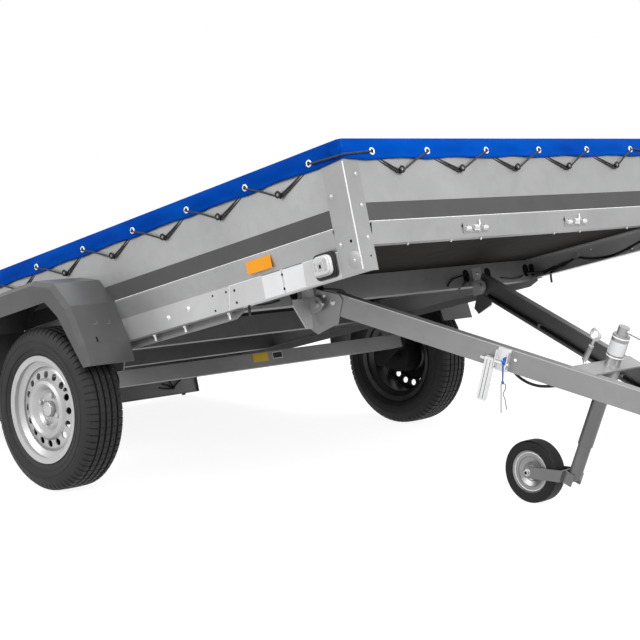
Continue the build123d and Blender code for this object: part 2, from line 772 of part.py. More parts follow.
def bridge():
    """Plate over both beams with the split ring that holds the jockey tube."""
    turn = math.tan(math.radians(BAR_HALF_ANGLE))
    half = [BEAM_REAR_Y - (x - BEAM_REAR_X) * turn - BRIDGE_INSET for x in BRIDGE_X]
    x0, x1 = BRIDGE_X
    outline = [(x0, -half[0]), (x1, -half[1]), (x1, half[1]), (x0, half[0])]
    plate = plate_xy(outline, (BEAM_TOP, BEAM_TOP + BRIDGE_T))
    lean = Pos(JOCKEY_X, 0, 0) * Rot(0, JOCKEY_LEAN, 0)
    ring = lean * rod((0, 0, CLAMP_Z[0]), (0, 0, CLAMP_Z[1]), CLAMP_R)
    lug = lean * block((-CLAMP_R - CLAMP_LUG, 0), (-CLAMP_LUG_HALF, CLAMP_LUG_HALF), CLAMP_LUG_Z)
    body = one([plate, ring, lug])
    return body - lean * rod((0, 0, CLAMP_Z[0] - FAR), (0, 0, CLAMP_Z[1] + FAR), JOCKEY_OUTER_R)


def clamp_handle():
    """Bent rod that turns the clamp's screw, with a ring at its top."""
    points = [Vector(x, 0, z) for x, z in HANDLE_POINTS]
    path = FilletPolyline(*points, radius=HANDLE_BEND)
    rod_shape = sweep(Plane(origin=path @ 0, z_dir=path % 0) * Circle(HANDLE_R), path=path)
    top_x, top_z = HANDLE_POINTS[-1]
    ring = Pos(top_x, 0, top_z + HANDLE_RING_R) * Rot(90, 0, 0) * Torus(HANDLE_RING_R, HANDLE_R)
    return rod_shape + ring


def coupling_head():
    """Pressed head on top of the beams' noses, hollow, with the ball socket under its front."""
    top = BEAM_TOP + COUPLING_RISE
    back = NOSE_X - COUPLING_LAP
    shank = block((back, BALL_X), (-COUPLING_HALF, COUPLING_HALF), (BEAM_TOP, top))
    dome_r = BALL_R + BALL_FIT + BALL_SHELL
    dome = Pos(BALL_X, 0, BALL_Z) * Sphere(dome_r)
    skirt = rod((BALL_X, 0, BALL_Z - BALL_SKIRT), (BALL_X, 0, top), dome_r)
    body = one([shank, dome, skirt])
    below = BALL_Z - BALL_SKIRT
    body = body - block((back - OVER, BALL_X + FAR), (-FAR, FAR), (below - FAR, below))
    inside = COUPLING_HALF - COUPLING_T
    hollow = block((back - OVER, BALL_X - dome_r - COUPLING_T), (-inside, inside),
                   (BEAM_TOP - OVER, top - COUPLING_T))
    socket = Pos(BALL_X, 0, BALL_Z) * Sphere(BALL_R + BALL_FIT)
    mouth = rod((BALL_X, 0, below - OVER), (BALL_X, 0, BALL_Z), BALL_R + BALL_FIT)
    return body - hollow - socket - mouth


def coupling_handle():
    top = BEAM_TOP + COUPLING_RISE
    lever = [(BALL_X + ahead, top + above) for ahead, above in COUPLING_GRIP]
    return plate_xz(lever, (-COUPLING_GRIP_HALF, COUPLING_GRIP_HALF))


# ------------------------------------------------------------------ jockey leg, in its own frame
def jockey_tube():
    tube = rod((0, 0, JOCKEY_OUTER_BOTTOM), (0, 0, JOCKEY_OUTER_TOP), JOCKEY_OUTER_R)
    bore = rod((0, 0, JOCKEY_OUTER_BOTTOM - OVER), (0, 0, JOCKEY_OUTER_TOP + OVER),
               JOCKEY_INNER_R + JOCKEY_FIT)
    return tube - bore


def jockey_head():
    sleeve = rod((0, 0, JOCKEY_OUTER_TOP), (0, 0, HEAD_TOP), HEAD_R)
    return sleeve + rod((0, 0, HEAD_TOP), (0, 0, CAP_TOP), CAP_R)


def crank():
    z = CAP_TOP - CRANK_ROD_R - CRANK_DROP
    arm = rod((CAP_R, 0, z), (CRANK_REACH, 0, z), CRANK_ROD_R)
    turn = Pos(CRANK_REACH, 0, z) * Sphere(CRANK_ROD_R)
    stem = rod((CRANK_REACH, 0, z), (CRANK_REACH, 0, z + CRANK_STEM), CRANK_ROD_R)
    foot = z + CRANK_STEM
    grip = rod((CRANK_REACH, 0, foot), (CRANK_REACH, 0, foot + CRANK_GRIP), CRANK_GRIP_R)
    return one([arm, turn, stem, grip])


def jockey_inner():
    top = JOCKEY_OUTER_TOP - JOCKEY_STROKE_UP - JOCKEY_TUBE_SPARE
    tube = rod((0, 0, JOCKEY_INNER_BOTTOM), (0, 0, top), JOCKEY_INNER_R)
    bore = rod((0, 0, JOCKEY_INNER_BOTTOM + JOCKEY_TUBE_FLOOR), (0, 0, top + OVER),
               JOCKEY_INNER_R - JOCKEY_WALL)
    return tube - bore


JOCKEY_AXLE_POINT = (JOCKEY.inverse() * Pos(JOCKEY_WHEEL_X, 0, JOCKEY_WHEEL_R)).position


def jockey_fork():
    """Crown and cheeks at the tube's foot, with two arms that trail back to the wheel's axle."""
    top = JOCKEY_INNER_BOTTOM - FORK_GAP
    half = FORK_ARM_Y + FORK_ARM_T
    cheek = FORK_CHEEK_Y + FORK_ARM_T
    zs = (top - FORK_DROP, top + FORK_RISE)
    crown = block((-FORK_BACK, FORK_NOSE), (-cheek, cheek), (top - FORK_CROWN_T, top))
    web = block((-FORK_BACK - FORK_ARM_T, -FORK_BACK), (-half, half), zs)
    cheeks = [block((-FORK_BACK, FORK_NOSE), (y, y + FORK_ARM_T), zs) for y in (FORK_CHEEK_Y, -cheek)]
    spigot = rod((0, 0, top - FORK_CROWN_T), (0, 0, top + FORK_GAP - JOCKEY_FIT), JOCKEY_AXLE_R)
    ax, az = JOCKEY_AXLE_POINT.X, JOCKEY_AXLE_POINT.Z
    run = math.hypot(ax, az - top)
    dx, dz = ax / run, (az - top) / run
    half_w = FORK_ARM_W / 2
    outline = [
        (-FORK_BACK, top + FORK_RISE),
        (ax + dz * half_w, az - dx * half_w),
        (ax - dz * half_w, az + dx * half_w),
        (-FORK_BACK, top - FORK_DROP),
    ]
    sides = (FORK_ARM_Y, -half)
    arms = [plate_xz(outline, (y, y + FORK_ARM_T)) for y in sides]
    arms = arms + [rod_y(ax, az, (y, y + FORK_ARM_T), half_w) for y in sides]
    axle = rod_y(ax, az, (-half - JOCKEY_AXLE_OUT, half + JOCKEY_AXLE_OUT), JOCKEY_AXLE_R)
    return one([crown, spigot, web] + cheeks + arms + [axle])


def jockey_rim():
    hub_side = JOCKEY_TYRE_HALF + JOCKEY_HUB_OUT
    bore = JOCKEY_AXLE_R + JOCKEY_FIT
    line = [
        (0, JOCKEY_SEAT_R),
        (JOCKEY_TYRE_HALF - JOCKEY_RIM_EDGE, JOCKEY_SEAT_R),
        (JOCKEY_TYRE_HALF - JOCKEY_RIM_INSET, JOCKEY_RIM_R),
    ]
    line = line + [(JOCKEY_TYRE_HALF - inset, radius) for inset, radius in JOCKEY_DISH]
    line = line + [(hub_side, JOCKEY_HUB_R), (hub_side, bore), (0, bore)]
    half = turned(line)
    return half + both_sides(half)


def jockey_tyre():
    seat = JOCKEY_SEAT_R + JOCKEY_FIT
    line = [(0, seat), (JOCKEY_TYRE_HALF, seat)]
    line = line + [(JOCKEY_TYRE_HALF - inset, JOCKEY_WHEEL_R - drop) for inset, drop in JOCKEY_TYRE_LINE]
    half = turned(line + [(0, JOCKEY_WHEEL_R)])
    return half + both_sides(half)


# ------------------------------------------------------------------ drawbar lock, right beam
def lock_bracket():
    """Bracket on the right beam's web, with the pin that the lever hangs on."""
    a0, a1 = LOCK_ALONG
    base = block((a0, a1), (0, LOCK_T), (LOCK_BOTTOM_Z, LOCK_TOP_Z))
    below, above = LOCK_FLANGE_INSET
    zs = (LOCK_BOTTOM_Z + below, LOCK_TOP_Z - above)
    rear = block((a0, a0 + LOCK_T), (0, LOCK_OUT), zs)
    front = block((a1 - LOCK_T, a1), (0, LOCK_OUT), zs)
    pin = rod((LOCK_PIN_ALONG[0], LOCK_PIN_OUT, LOCK_PIN_Z),
              (LOCK_PIN_ALONG[1], LOCK_PIN_OUT, LOCK_PIN_Z), LOCK_PIN_R)
    return one([base, rear, front, pin])


def lock_lever():
    """Channel-section lever that hangs on the lock's pin."""
    a0 = LEVER_ALONG - LEVER_WIDTH / 2
    a1 = LEVER_ALONG + LEVER_WIDTH / 2
    y0 = LOCK_PIN_OUT - LEVER_DEPTH / 2
    y1 = LOCK_PIN_OUT + LEVER_DEPTH / 2
    top = LOCK_PIN_Z + LEVER_DEPTH / 2
    body = block((a0, a1), (y0, y1), (LEVER_Z, top))
    body = body - block((a0 + LEVER_T, a1 - LEVER_T), (y0 - OVER, y1 - LEVER_T),
                        (LEVER_Z - OVER, top - LEVER_T))
    hole = rod((a0 - OVER, LOCK_PIN_OUT, LOCK_PIN_Z), (a1 + OVER, LOCK_PIN_OUT, LOCK_PIN_Z), LOCK_PIN_R)
    return body - hole


# ------------------------------------------------------------------ wiring and string
def cord_radii(points):
    """The largest bends that the runs between a cord's points leave room for."""
    radii = []
    for before, at, after in zip(points, points[1:], points[2:]):
        half_turn = math.radians((at - before).get_angle(after - at)) / 2
        shorter = min((at - before).length, (after - at).length)
        radii.append(RUN_SHARE * shorter / math.tan(half_turn))
    return radii


def cable(route):
    """A cable of the left beam, through (along, out from the web, z) points."""
    points = [Vector(*point) for point in route]
    path = FilletPolyline(*points, radius=cord_radii(points)) if len(points) > 2 else Line(*points)
    return sweep(Plane(origin=path @ 0, z_dir=path % 0) * Circle(CABLE_R), path=path)


def straight_cable():
    """Lies in the corner of web and lower flange all along the beam."""
    y = -(BEAM_T + CABLE_R + CABLE_GAP)
    z = BEAM_TOP - BEAM_HEIGHT + BEAM_T + CABLE_R + CABLE_GAP
    rear, nose = CABLE_ENDS
    return cable([(rear, y, z), (BEAM_LENGTH - nose, y, z)])


def sagging_cable():
    """The same, but part of it hangs out of the beam's open side and under its lower edge."""
    corner = -(BEAM_T + CABLE_R + CABLE_GAP)
    free = -(BEAM_FLANGE + CABLE_R + CABLE_FREE)
    under = BEAM_TOP - BEAM_HEIGHT
    high = under + BEAM_T + CABLE_R + CABLE_GAP
    rear, nose = CABLE_ENDS
    hang = [(along, free, under - below) for along, below in CABLE_HANG]
    away = CABLE_HANG[0][0] - CABLE_SLANT
    back = CABLE_HANG[-1][0] + CABLE_SLANT
    ahead = [(rear, corner, high), (away, corner, high)]
    return cable(ahead + hang + [(back, corner, high), (BEAM_LENGTH - nose, corner, high)])


def string_start():
    """Where the string leaves the left-hand mirror image of the lock bracket, on level axes."""
    return (DRAWBAR * beam_frame() * Pos(LOCK_ALONG[1] - LOCK_T, LOCK_PIN_OUT, STRING_Z)).position


def string():
    start = string_start()
    points = [start + Vector(x, -y, z) for x, y, z in STRING_ROUTE]
    radii = cord_radii(points)
    print("string radii", [round(radius, 1) for radius in radii])
    path = FilletPolyline(*points, radius=radii)
    return sweep(Plane(origin=path @ 0, z_dir=path % 0) * Circle(STRING_R), path=path)


def spring_clip():
    """Bent wire clip at the string's end, hanging in a plane along the beam."""
    x, y, z = STRING_ROUTE[-1]
    end = string_start() + Vector(x, -y, z - CLIP_R - CLIP_GAP)
    turn = math.radians(BAR_HALF_ANGLE)
    side = Plane(origin=end, x_dir=(math.cos(turn), -math.sin(turn), 0),
                 z_dir=(-math.sin(turn), -math.cos(turn), 0))
    points = [side.from_local_coords(Vector(along, -below, 0)) for along, below in CLIP_LINE]
    path = FilletPolyline(*points, radius=CLIP_BEND)
    return sweep(Plane(origin=path @ 0, z_dir=path % 0) * Circle(CLIP_R), path=path)


# ------------------------------------------------------------------ pivot, chassis side
def pivot_bracket():
    """Two ears from the cross member to the pivot bolt, with a tapered outer flange."""
    ears = []
    inner_y = BEAM_REAR_Y - EAR_GAP - EAR_T
    for y in (inner_y, OUTER_EAR_Y):
        web = block((FRONT_CROSS_U, PIVOT_U), (y, y + EAR_T), (PIVOT_W - EAR_R, PIVOT_W + EAR_R))
        ears.append(web + rod_y(PIVOT_U, PIVOT_W, (y, y + EAR_T), EAR_R))
    outer = OUTER_EAR_Y + EAR_T
    flange = [
        (OUTER_EAR_Y, PIVOT_W + EAR_R),
        (BRACKET_FLANGE_Y, PIVOT_W + EAR_R),
        (BRACKET_FLANGE_Y, FRONT_CROSS_BOTTOM),
        (BRACKET_TIP_Y, BRACKET_TIP_W),
        (outer, BRACKET_TIP_W),
        (OUTER_EAR_Y, BRACKET_HEEL_W),
    ]
    wing = section_x(flange, (FRONT_CROSS_U, FRONT_CROSS_U + EAR_T))
    back = block((FRONT_CROSS_U, FRONT_CROSS_U + EAR_T), (inner_y, OUTER_EAR_Y + OVER),
                 (PIVOT_W, PIVOT_W + EAR_R))
    body = one([ears[0], ears[1], wing, back])
    bore = rod_y(PIVOT_U, PIVOT_W, (inner_y - OVER, outer + OVER), PIVOT_BOLT_R)
    return body - bore


def pivot_plate_side(ahead):
    """How far out the pivot plate's outer face lies, this far ahead of the pivot."""
    turn = math.radians(BAR_HALF_ANGLE)
    return BEAM_REAR_Y + (BEAM_REAR_X - ahead) * math.tan(turn) + PENTAGON_T / math.cos(turn)


def pivot_bolt():
    """Left pivot bolt with its head, nut and spacer."""
    inner_y = BEAM_REAR_Y - EAR_GAP - EAR_T
    outer = OUTER_EAR_Y + EAR_T
    shank = rod_y(PIVOT_U, PIVOT_W, (inner_y - PIVOT_BOLT_HEAD, outer + PIVOT_BOLT_HEAD), PIVOT_BOLT_R)
    head = rod_y(PIVOT_U, PIVOT_W, (inner_y - PIVOT_BOLT_HEAD, inner_y), PIVOT_BOLT_HEAD_R)
    nut = rod_y(PIVOT_U, PIVOT_W, (outer, outer + PIVOT_BOLT_HEAD), PIVOT_BOLT_HEAD_R)
    spacer = rod_y(PIVOT_U, PIVOT_W, (pivot_plate_side(-PIVOT_BOLT_HEAD_R) + EAR_GAP, OUTER_EAR_Y),
                   PIVOT_BOLT_HEAD_R)
    return one([shank, head, nut, spacer])


# ------------------------------------------------------------------ small parts of the box
def lock_catch():
    """Catch plate lying on the sloping foot of the front wall, left of the middle."""
    low = SILL_W - SHEET
    slope = (FOLD_OUT + SILL_TUCK) / (FOLD_W - FOLD_STEP - low)
    face = [(PANEL_FRONT_U - SILL_TUCK + (w - low) * slope, w) for w in CATCH_W]
    outline = face + [(u + CATCH_T, w) for u, w in face[::-1]]
    half = CATCH_WIDTH / 2
    return plate_xz(outline, (CATCH_Y - half, CATCH_Y + half))


def cover():
    """Flat cover: a top sheet with a skirt down both sides and the front."""
    side = HALF_WIDTH + COVER_OUT
    front = FRONT_U + COVER_OUT
    outer = block((REAR_U, front + COVER_T), (-side - COVER_T, side + COVER_T),
                  (WALL_TOP - COVER_SKIRT, WALL_TOP + COVER_T))
    inner = block((REAR_U - OVER, front), (-side, side), (WALL_TOP - COVER_SKIRT - OVER, WALL_TOP))
    return outer - inner


def hook(place):
    """A round cover hook standing out along +z of its place."""
    stem = rod((0, 0, 0), (0, 0, HOOK_OUT), HOOK_STEM_R)
    head = rod((0, 0, HOOK_OUT - HOOK_HEAD_T), (0, 0, HOOK_OUT), HOOK_R)
    return place * (stem + head)


def side_hooks(side):
    hooks = []
    for i in range(SIDE_HOOK_COUNT):
        u = SIDE_HOOK_FIRST_U - i * HOOK_PITCH
        hooks.append(hook(Location((u, side * PANEL_Y, HOOK_W), (-side * 90, 0, 0))))
    return hooks


def front_hooks():
    return [hook(Location((PANEL_FRONT_U, i * HOOK_PITCH, HOOK_W), (0, 90, 0)))
            for i in FRONT_HOOK_STEPS]


def marker_lamp():
    """Base of the left front marker lamp."""
    return block(MARKER_U, (HALF_WIDTH, HALF_WIDTH + MARKER_BASE), MARKER_W)


def marker_lens():
    u0, u1 = MARKER_U
    w0, w1 = MARKER_W
    return block((u0 + MARKER_RIM, u1 - MARKER_RIM), (HALF_WIDTH + MARKER_BASE, HALF_WIDTH + MARKER_OUT),
                 (w0 + MARKER_RIM, w1 - MARKER_RIM))


def reflector():
    y0 = PANEL_Y + FOLD_OUT - REFLECTOR_SINK
    return block(REFLECTOR_U, (y0, y0 + REFLECTOR_T), REFLECTOR_W)


def rear_cross():
    """C-section member at the tail, its web rearward, under the floor."""
    top = SILL_W - SHEET
    line = [
        (SIDE_REAR_U + REAR_CROSS_FLANGE, FRAME_BOTTOM),
        (SIDE_REAR_U, FRAME_BOTTOM),
        (SIDE_REAR_U, top),
        (SIDE_REAR_U + REAR_CROSS_FLANGE, top),
    ]
    reach = PANEL_Y - RAIL_FLANGE
    return plate_xz(folded(line, -CROSS_T), (-reach, reach))


def lamp_board():
    """Board across the tail, hung from the rear member, with lips at its foot and ends."""
    depth = (SIDE_REAR_U, SIDE_REAR_U + LAMP_BOARD_LIP)
    outer = block(depth, (-LAMP_BOARD_Y, LAMP_BOARD_Y), (LAMP_BOARD_BOTTOM, FRAME_BOTTOM))
    inside = LAMP_BOARD_Y - LAMP_BOARD_T
    inner = block((SIDE_REAR_U + LAMP_BOARD_T, depth[1] + OVER), (-inside, inside),
                  (LAMP_BOARD_BOTTOM + LAMP_BOARD_T, FRAME_BOTTOM + OVER))
    return outer - inner


def rear_lamp():
    depth, width, height = REAR_LAMP
    middle = (LAMP_BOARD_BOTTOM + FRAME_BOTTOM) / 2
    return block((SIDE_REAR_U - depth, SIDE_REAR_U), (LAMP_BOARD_Y - width, LAMP_BOARD_Y),
                 (middle - height / 2, middle + height / 2))


def tailgate():
    """Pan of sheet, open towards the load, with the eyes of its hinges."""
    half = PANEL_Y - GATE_SIDE_GAP
    bottom = SILL_W + SHEET
    top = WALL_TOP - GATE_TOP_GAP
    pan = block((REAR_U, REAR_U + GATE_T), (-half, half), (bottom, top))
    pan = pan - block((REAR_U + SHEET, REAR_U + GATE_T + OVER), (-half + SHEET, half - SHEET),
                      (bottom + SHEET, top - SHEET))
    axis_u = REAR_U - GATE_HINGE_BACK
    for y in GATE_HINGE_Y:
        ys = (y - GATE_HINGE_EYE / 2, y + GATE_HINGE_EYE / 2)
        leaf = block((REAR_U - GATE_HINGE_T, REAR_U), ys, (GATE_HINGE_W, GATE_HINGE_W + GATE_HINGE_LEAF))
        arm = block((axis_u, REAR_U), ys, (GATE_HINGE_W, GATE_HINGE_W + GATE_HINGE_EYE_R))
        eye = rod_y(axis_u, GATE_HINGE_W, ys, GATE_HINGE_EYE_R)
        pan = one([pan, leaf, arm, eye])
        pan = pan - rod_y(axis_u, GATE_HINGE_W, (ys[0] - OVER, ys[1] + OVER),
                          GATE_HINGE_PIN_R + PIVOT_FIT)
    return pan


def gate_hinges():
    """Fixed halves of the tailgate's hinges, each with its pin."""
    axis_u = REAR_U - GATE_HINGE_BACK
    gap = GATE_HINGE_EYE / 2 + GATE_HINGE_SIDE_GAP
    far = gap + GATE_HINGE_KNUCKLE
    hinges = []
    for y in GATE_HINGE_Y:
        pin = rod_y(axis_u, GATE_HINGE_W, (y - far, y + far), GATE_HINGE_PIN_R)
        shapes = [pin]
        for side in (-1, 1):
            ys = sorted((y + side * gap, y + side * far))
            shapes.append(rod_y(axis_u, GATE_HINGE_W, ys, GATE_HINGE_EYE_R))
            shapes.append(block((axis_u, SIDE_REAR_U), ys,
                                (GATE_HINGE_W - GATE_HINGE_EYE_R, GATE_HINGE_W)))
        hinges.append(one(shapes))
    return hinges


# ------------------------------------------------------------------ build
def keep_pair(name, shape, frame):
    keep("left_" + name, shape, frame)
    keep("right_" + name, both_sides(shape), frame)


def keep_group(name, shapes, frame):
    """Like pieces that don't touch, in one node."""
    keep(name, Compound(children=list(shapes)), frame)


def keep_two(name, shape, frame):
    """A left piece and its mirror image, in one node."""
    keep_group(name, [shape, both_sides(shape)], frame)


keep_pair("side_wall", side_wall(), CHASSIS)
keep("front_wall", front_wall(), CHASSIS)
keep("floor_panel", floor_panel(), CHASSIS)
keep_two("front_posts", corner_post(), CHASSIS)
keep_two("rear_posts", rear_post(), CHASSIS)
keep_two("side_rails", side_rail(), CHASSIS)
keep_two("side_plates", side_plate(), CHASSIS)
keep_two("side_angles", side_angle(), CHASSIS)
rail_top = SILL_W - SHEET
keep("front_cross_member",
     channel_y(FRONT_CROSS_U, FRONT_CROSS_BOTTOM, rail_top - FRONT_CROSS_BOTTOM, CROSS_DEPTH, CROSS_T),
     CHASSIS)
keep_group("mid_cross_members",
           [channel_y(u, FRAME_BOTTOM, rail_top - FRAME_BOTTOM, CROSS_DEPTH, CROSS_T)
            for u in MID_CROSS_U],
           CHASSIS)
keep("rear_cross_member", rear_cross(), CHASSIS)
keep("axle_beam", axle_beam(), CHASSIS)
keep_two("axle_brackets", axle_bracket(), CHASSIS)
keep_two("swing_arms", swing_arm(), CHASSIS)
keep_two("pivot_brackets", pivot_bracket(), CHASSIS)
keep_two("pivot_bolts", pivot_bolt(), CHASSIS)
keep_pair("fender", fender(), CHASSIS)
keep("lamp_board", lamp_board(), CHASSIS)
keep_two("rear_lamps", rear_lamp(), CHASSIS)
keep_two("marker_lamp_bases", marker_lamp(), CHASSIS)
keep_two("marker_lamp_lenses", marker_lens(), CHASSIS)
keep_two("side_reflectors", reflector(), CHASSIS)
keep_two("lock_catches", lock_catch(), CHASSIS)
keep("cover", cover(), CHASSIS)
keep_group("cover_hooks", side_hooks(1) + side_hooks(-1) + front_hooks(), CHASSIS)
keep("tailgate", tailgate(), CHASSIS)
keep_group("tailgate_hinges", gate_hinges(), CHASSIS)

left_wheel = CHASSIS * Pos(0, WHEEL_Y, 0)
right_wheel = CHASSIS * Pos(0, -WHEEL_Y, 0) * Rot(0, 0, 180)
for side, place in (("left", left_wheel), ("right", right_wheel)):
    keep(side + "_tyre", tyre(), place)
    keep(side + "_rim", rim(), place)
    keep(side + "_hub", hub(), place)

right_frame = Location((BEAM_REAR_X, -BEAM_REAR_Y, 0), (0, 0, BAR_HALF_ANGLE))
left_beam = beam_frame() * beam()
web_hole = right_frame * rod((WEB_HOLE_ALONG, -BEAM_T, WEB_HOLE_Z),
                             (WEB_HOLE_ALONG, BEAM_T + OVER, WEB_HOLE_Z), WEB_HOLE_R)
keep("left_drawbar_beam", left_beam, DRAWBAR)
keep("right_drawbar_beam", both_sides(left_beam) - web_hole, DRAWBAR)
keep_two("pivot_plates", beam_frame() * pivot_plate() - pivot_bore(), DRAWBAR)
keep("jockey_bracket", bridge(), DRAWBAR)
keep("clamp_handle", clamp_handle() - bridge(), DRAWBAR)
keep("coupling_head", coupling_head(), DRAWBAR)
keep("coupling_handle", coupling_handle() - coupling_head(), DRAWBAR)
keep("lock_bracket", both_sides(beam_frame() * lock_bracket()), DRAWBAR)
keep("lock_lever", both_sides(beam_frame() * lock_lever()), DRAWBAR)
keep_group("wiring_harness",
           [beam_frame() * straight_cable(), both_sides(beam_frame() * sagging_cable())], DRAWBAR)
keep("lanyard", both_sides(string()), Location())
keep("spring_clip", both_sides(spring_clip()), Location())
keep("jockey_tube", jockey_tube(), JOCKEY)
keep("jockey_head", jockey_head(), JOCKEY)
keep("jockey_crank", crank(), JOCKEY)
keep("jockey_inner_tube", jockey_inner(), JOCKEY)
keep("jockey_fork", jockey_fork(), JOCKEY)
jockey_axle = JOCKEY * Pos(JOCKEY_AXLE_POINT.X, 0, JOCKEY_AXLE_POINT.Z)
keep("jockey_rim", jockey_rim(), jockey_axle)
keep("jockey_tyre", jockey_tyre(), jockey_axle)

# the model's origin: the middle of its footprint, on the floor
boxes = [shape.bounding_box() for shape in PIECES.values()]
ORIGIN_X = (min(b.min.X for b in boxes) + max(b.max.X for b in boxes)) / 2
FLOOR_SHIFT = Pos(-ORIGIN_X, 0, 0)

for name, shape in PIECES.items():
    export_step(FLOOR_SHIFT * shape, f"parts/{name}.step")
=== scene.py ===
import json
from math import cos, pi, radians, sin

import bmesh
import bpy
from mathutils import Matrix, Vector


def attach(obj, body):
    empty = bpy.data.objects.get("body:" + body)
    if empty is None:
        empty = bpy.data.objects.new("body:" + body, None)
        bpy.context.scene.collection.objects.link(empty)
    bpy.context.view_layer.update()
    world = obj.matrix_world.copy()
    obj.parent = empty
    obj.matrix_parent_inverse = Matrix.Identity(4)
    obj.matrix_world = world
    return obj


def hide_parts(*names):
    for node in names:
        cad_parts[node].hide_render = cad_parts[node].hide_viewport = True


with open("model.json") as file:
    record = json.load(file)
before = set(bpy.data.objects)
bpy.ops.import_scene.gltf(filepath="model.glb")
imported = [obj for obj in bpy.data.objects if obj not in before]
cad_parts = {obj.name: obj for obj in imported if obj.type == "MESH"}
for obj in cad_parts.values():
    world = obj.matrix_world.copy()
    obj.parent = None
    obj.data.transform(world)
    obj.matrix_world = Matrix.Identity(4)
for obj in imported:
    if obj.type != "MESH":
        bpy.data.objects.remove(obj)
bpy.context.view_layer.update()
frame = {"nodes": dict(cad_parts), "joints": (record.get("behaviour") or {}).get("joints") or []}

# A tipping box trailer parked on its wheels and its jockey wheel. Sizes are in metres.
# Positions are written in the working frames of the CAD model:
#   chassis  u forward along the bed, v to the left, w up off the bed, from the wheels' centre line
#   drawbar  x forward along the drawbar from the bed pivot, y to the left, z up off it
#   jockey   z up the jockey tube
BED_TILT = radians(14.42)
BAR_SLOPE = radians(15.55)
JOCKEY_LEAN = radians(4.8)
BAR_HALF_ANGLE = radians(17.46)
JOCKEY_ALONG = 0.832

JOINT = {joint["name"]: joint for joint in frame["joints"]}
WHEEL_AT = Vector(JOINT["left_wheel_spin"]["pos_m"])
PIVOT_AT = Vector(JOINT["drawbar_tip"]["pos_m"])
JOCKEY_WHEEL_AT = Vector(JOINT["jockey_wheel_spin"]["pos_m"])
TYRE_R = WHEEL_AT.z
WHEEL_Y = WHEEL_AT.y

CHASSIS = Matrix.Translation((WHEEL_AT.x, 0, WHEEL_AT.z)) @ Matrix.Rotation(-BED_TILT, 4, "Y")
DRAWBAR = Matrix.Translation((PIVOT_AT.x, 0, PIVOT_AT.z)) @ Matrix.Rotation(BAR_SLOPE, 4, "Y")
JOCKEY = DRAWBAR @ Matrix.Translation((JOCKEY_ALONG, 0, 0)) @ Matrix.Rotation(JOCKEY_LEAN, 4, "Y")

# box, chassis frame
FRONT_U = 1.399
REAR_U = -1.251
HALF_WIDTH = 0.774
PANEL_Y = 0.772
PANEL_FRONT_U = 1.397
FRAME_BOTTOM = 0.164
FOLD_W = 0.300
POST_SIDE = 0.088
POST_FRONT = 0.059
SKIN = 0.0004  # how far paint, tape and stickers stand off the sheet


def new_object(name, data):
    thing = bpy.data.objects.new(name, data)
    bpy.context.collection.objects.link(thing)
    return thing


def axes(x, y, z, at):
    """A place at a point, with the given axes."""
    place = Matrix((x, y, z)).transposed().to_4x4()
    place.translation = at
    return place


# ---- camera
CAMERA_FROM_AXLE = Vector((4.211, -3.867, 1.087))
CAMERA_YAW = radians(44.81)
CAMERA_PITCH = radians(5.95)
CAMERA_ROLL = -0.0133
FOCAL_PX = 1533.5
PICTURE_PX = 640
SENSOR = 36.0
VIEW_REACH = 60.0


def add_camera():
    bpy.context.scene.view_settings.view_transform = "Standard"
    back = Vector((sin(CAMERA_YAW) * cos(CAMERA_PITCH),
                   -cos(CAMERA_YAW) * cos(CAMERA_PITCH),
                   sin(CAMERA_PITCH)))
    right = (-back).cross(Vector((0, 0, 1))).normalized()
    up = right.cross(-back)
    c, s = cos(CAMERA_ROLL), sin(CAMERA_ROLL)
    right, up = c * right + s * up, c * up - s * right
    data = bpy.data.cameras.new("camera")
    data.sensor_width = SENSOR
    data.lens = FOCAL_PX * SENSOR / PICTURE_PX
    data.clip_end = VIEW_REACH
    camera = new_object("camera", data)
    camera.matrix_world = axes(right, up, back, CAMERA_FROM_AXLE + Vector((WHEEL_AT.x, 0, 0)))
    bpy.context.scene.camera = camera


# ---- nodes
def add_node(tree, kind, inputs=None, out=0, **settings):
    """Adds a shader node. Each input gets a value, or the output that feeds it."""
    node = tree.nodes.new("ShaderNode" + kind)
    for name, value in settings.items():
        setattr(node, name, value)
    for key, value in (inputs or {}).items():
        if isinstance(value, bpy.types.NodeSocket):
            tree.links.new(value, node.inputs[key])
        else:
            node.inputs[key].default_value = value
    return node.outputs[out] if node.outputs else None


def grey(value):
    return (value, value, value)


# ---- studio
LIGHTS = (  # name, place from the point of the floor under the axle, size, power
    ("key", (6.5, -1.5, 4.2), (4.0, 3.0), 425),
    ("side", (-1.5, -6.5, 3.4), (5.0, 2.5), 255),
    ("top", (0.0, 0.5, 6.5), (6.0, 5.0), 250),
)
LIGHTS_AIM = (0.6, 0, 0.5)
FILL_COLOUR = (0.93, 0.96, 1.0, 1)
FILL_STRENGTH = 0.45
WHITE = (1, 1, 1, 1)
FLOOR_REACH = 30.0
FLOOR_Z = -0.0005
FLOOR_SHADE = (*grey(0.26), 1)  # the part of the floor's white that shadows darken
FLOOR_GLOW = 0.90
FLOOR_DULL = (*grey(0.20), 1)  # what the object gets back from the floor


def from_axle(place):
    return (WHEEL_AT.x + place[0], place[1], place[2])


def add_light(name, at, look_at, size, power):
    data = bpy.data.lights.new(name, "AREA")
    data.shape = "RECTANGLE"
    data.size, data.size_y = size
    data.energy = power
    light = new_object(name, data)
    light.location = at
    aim = Vector(look_at) - Vector(at)
    light.rotation_euler = aim.to_track_quat("-Z", "Y").to_euler()


def seen_directly(tree):
    """A value of 1 where the camera sees the surface, directly, mirrored or through a lens."""
    factor = add_node(tree, "LightPath", out="Is Camera Ray")
    for kind in ("Is Glossy Ray", "Is Transmission Ray"):
        other = add_node(tree, "LightPath", out=kind)
        factor = add_node(tree, "Math", {0: factor, 1: other}, operation="MAXIMUM")
    return factor


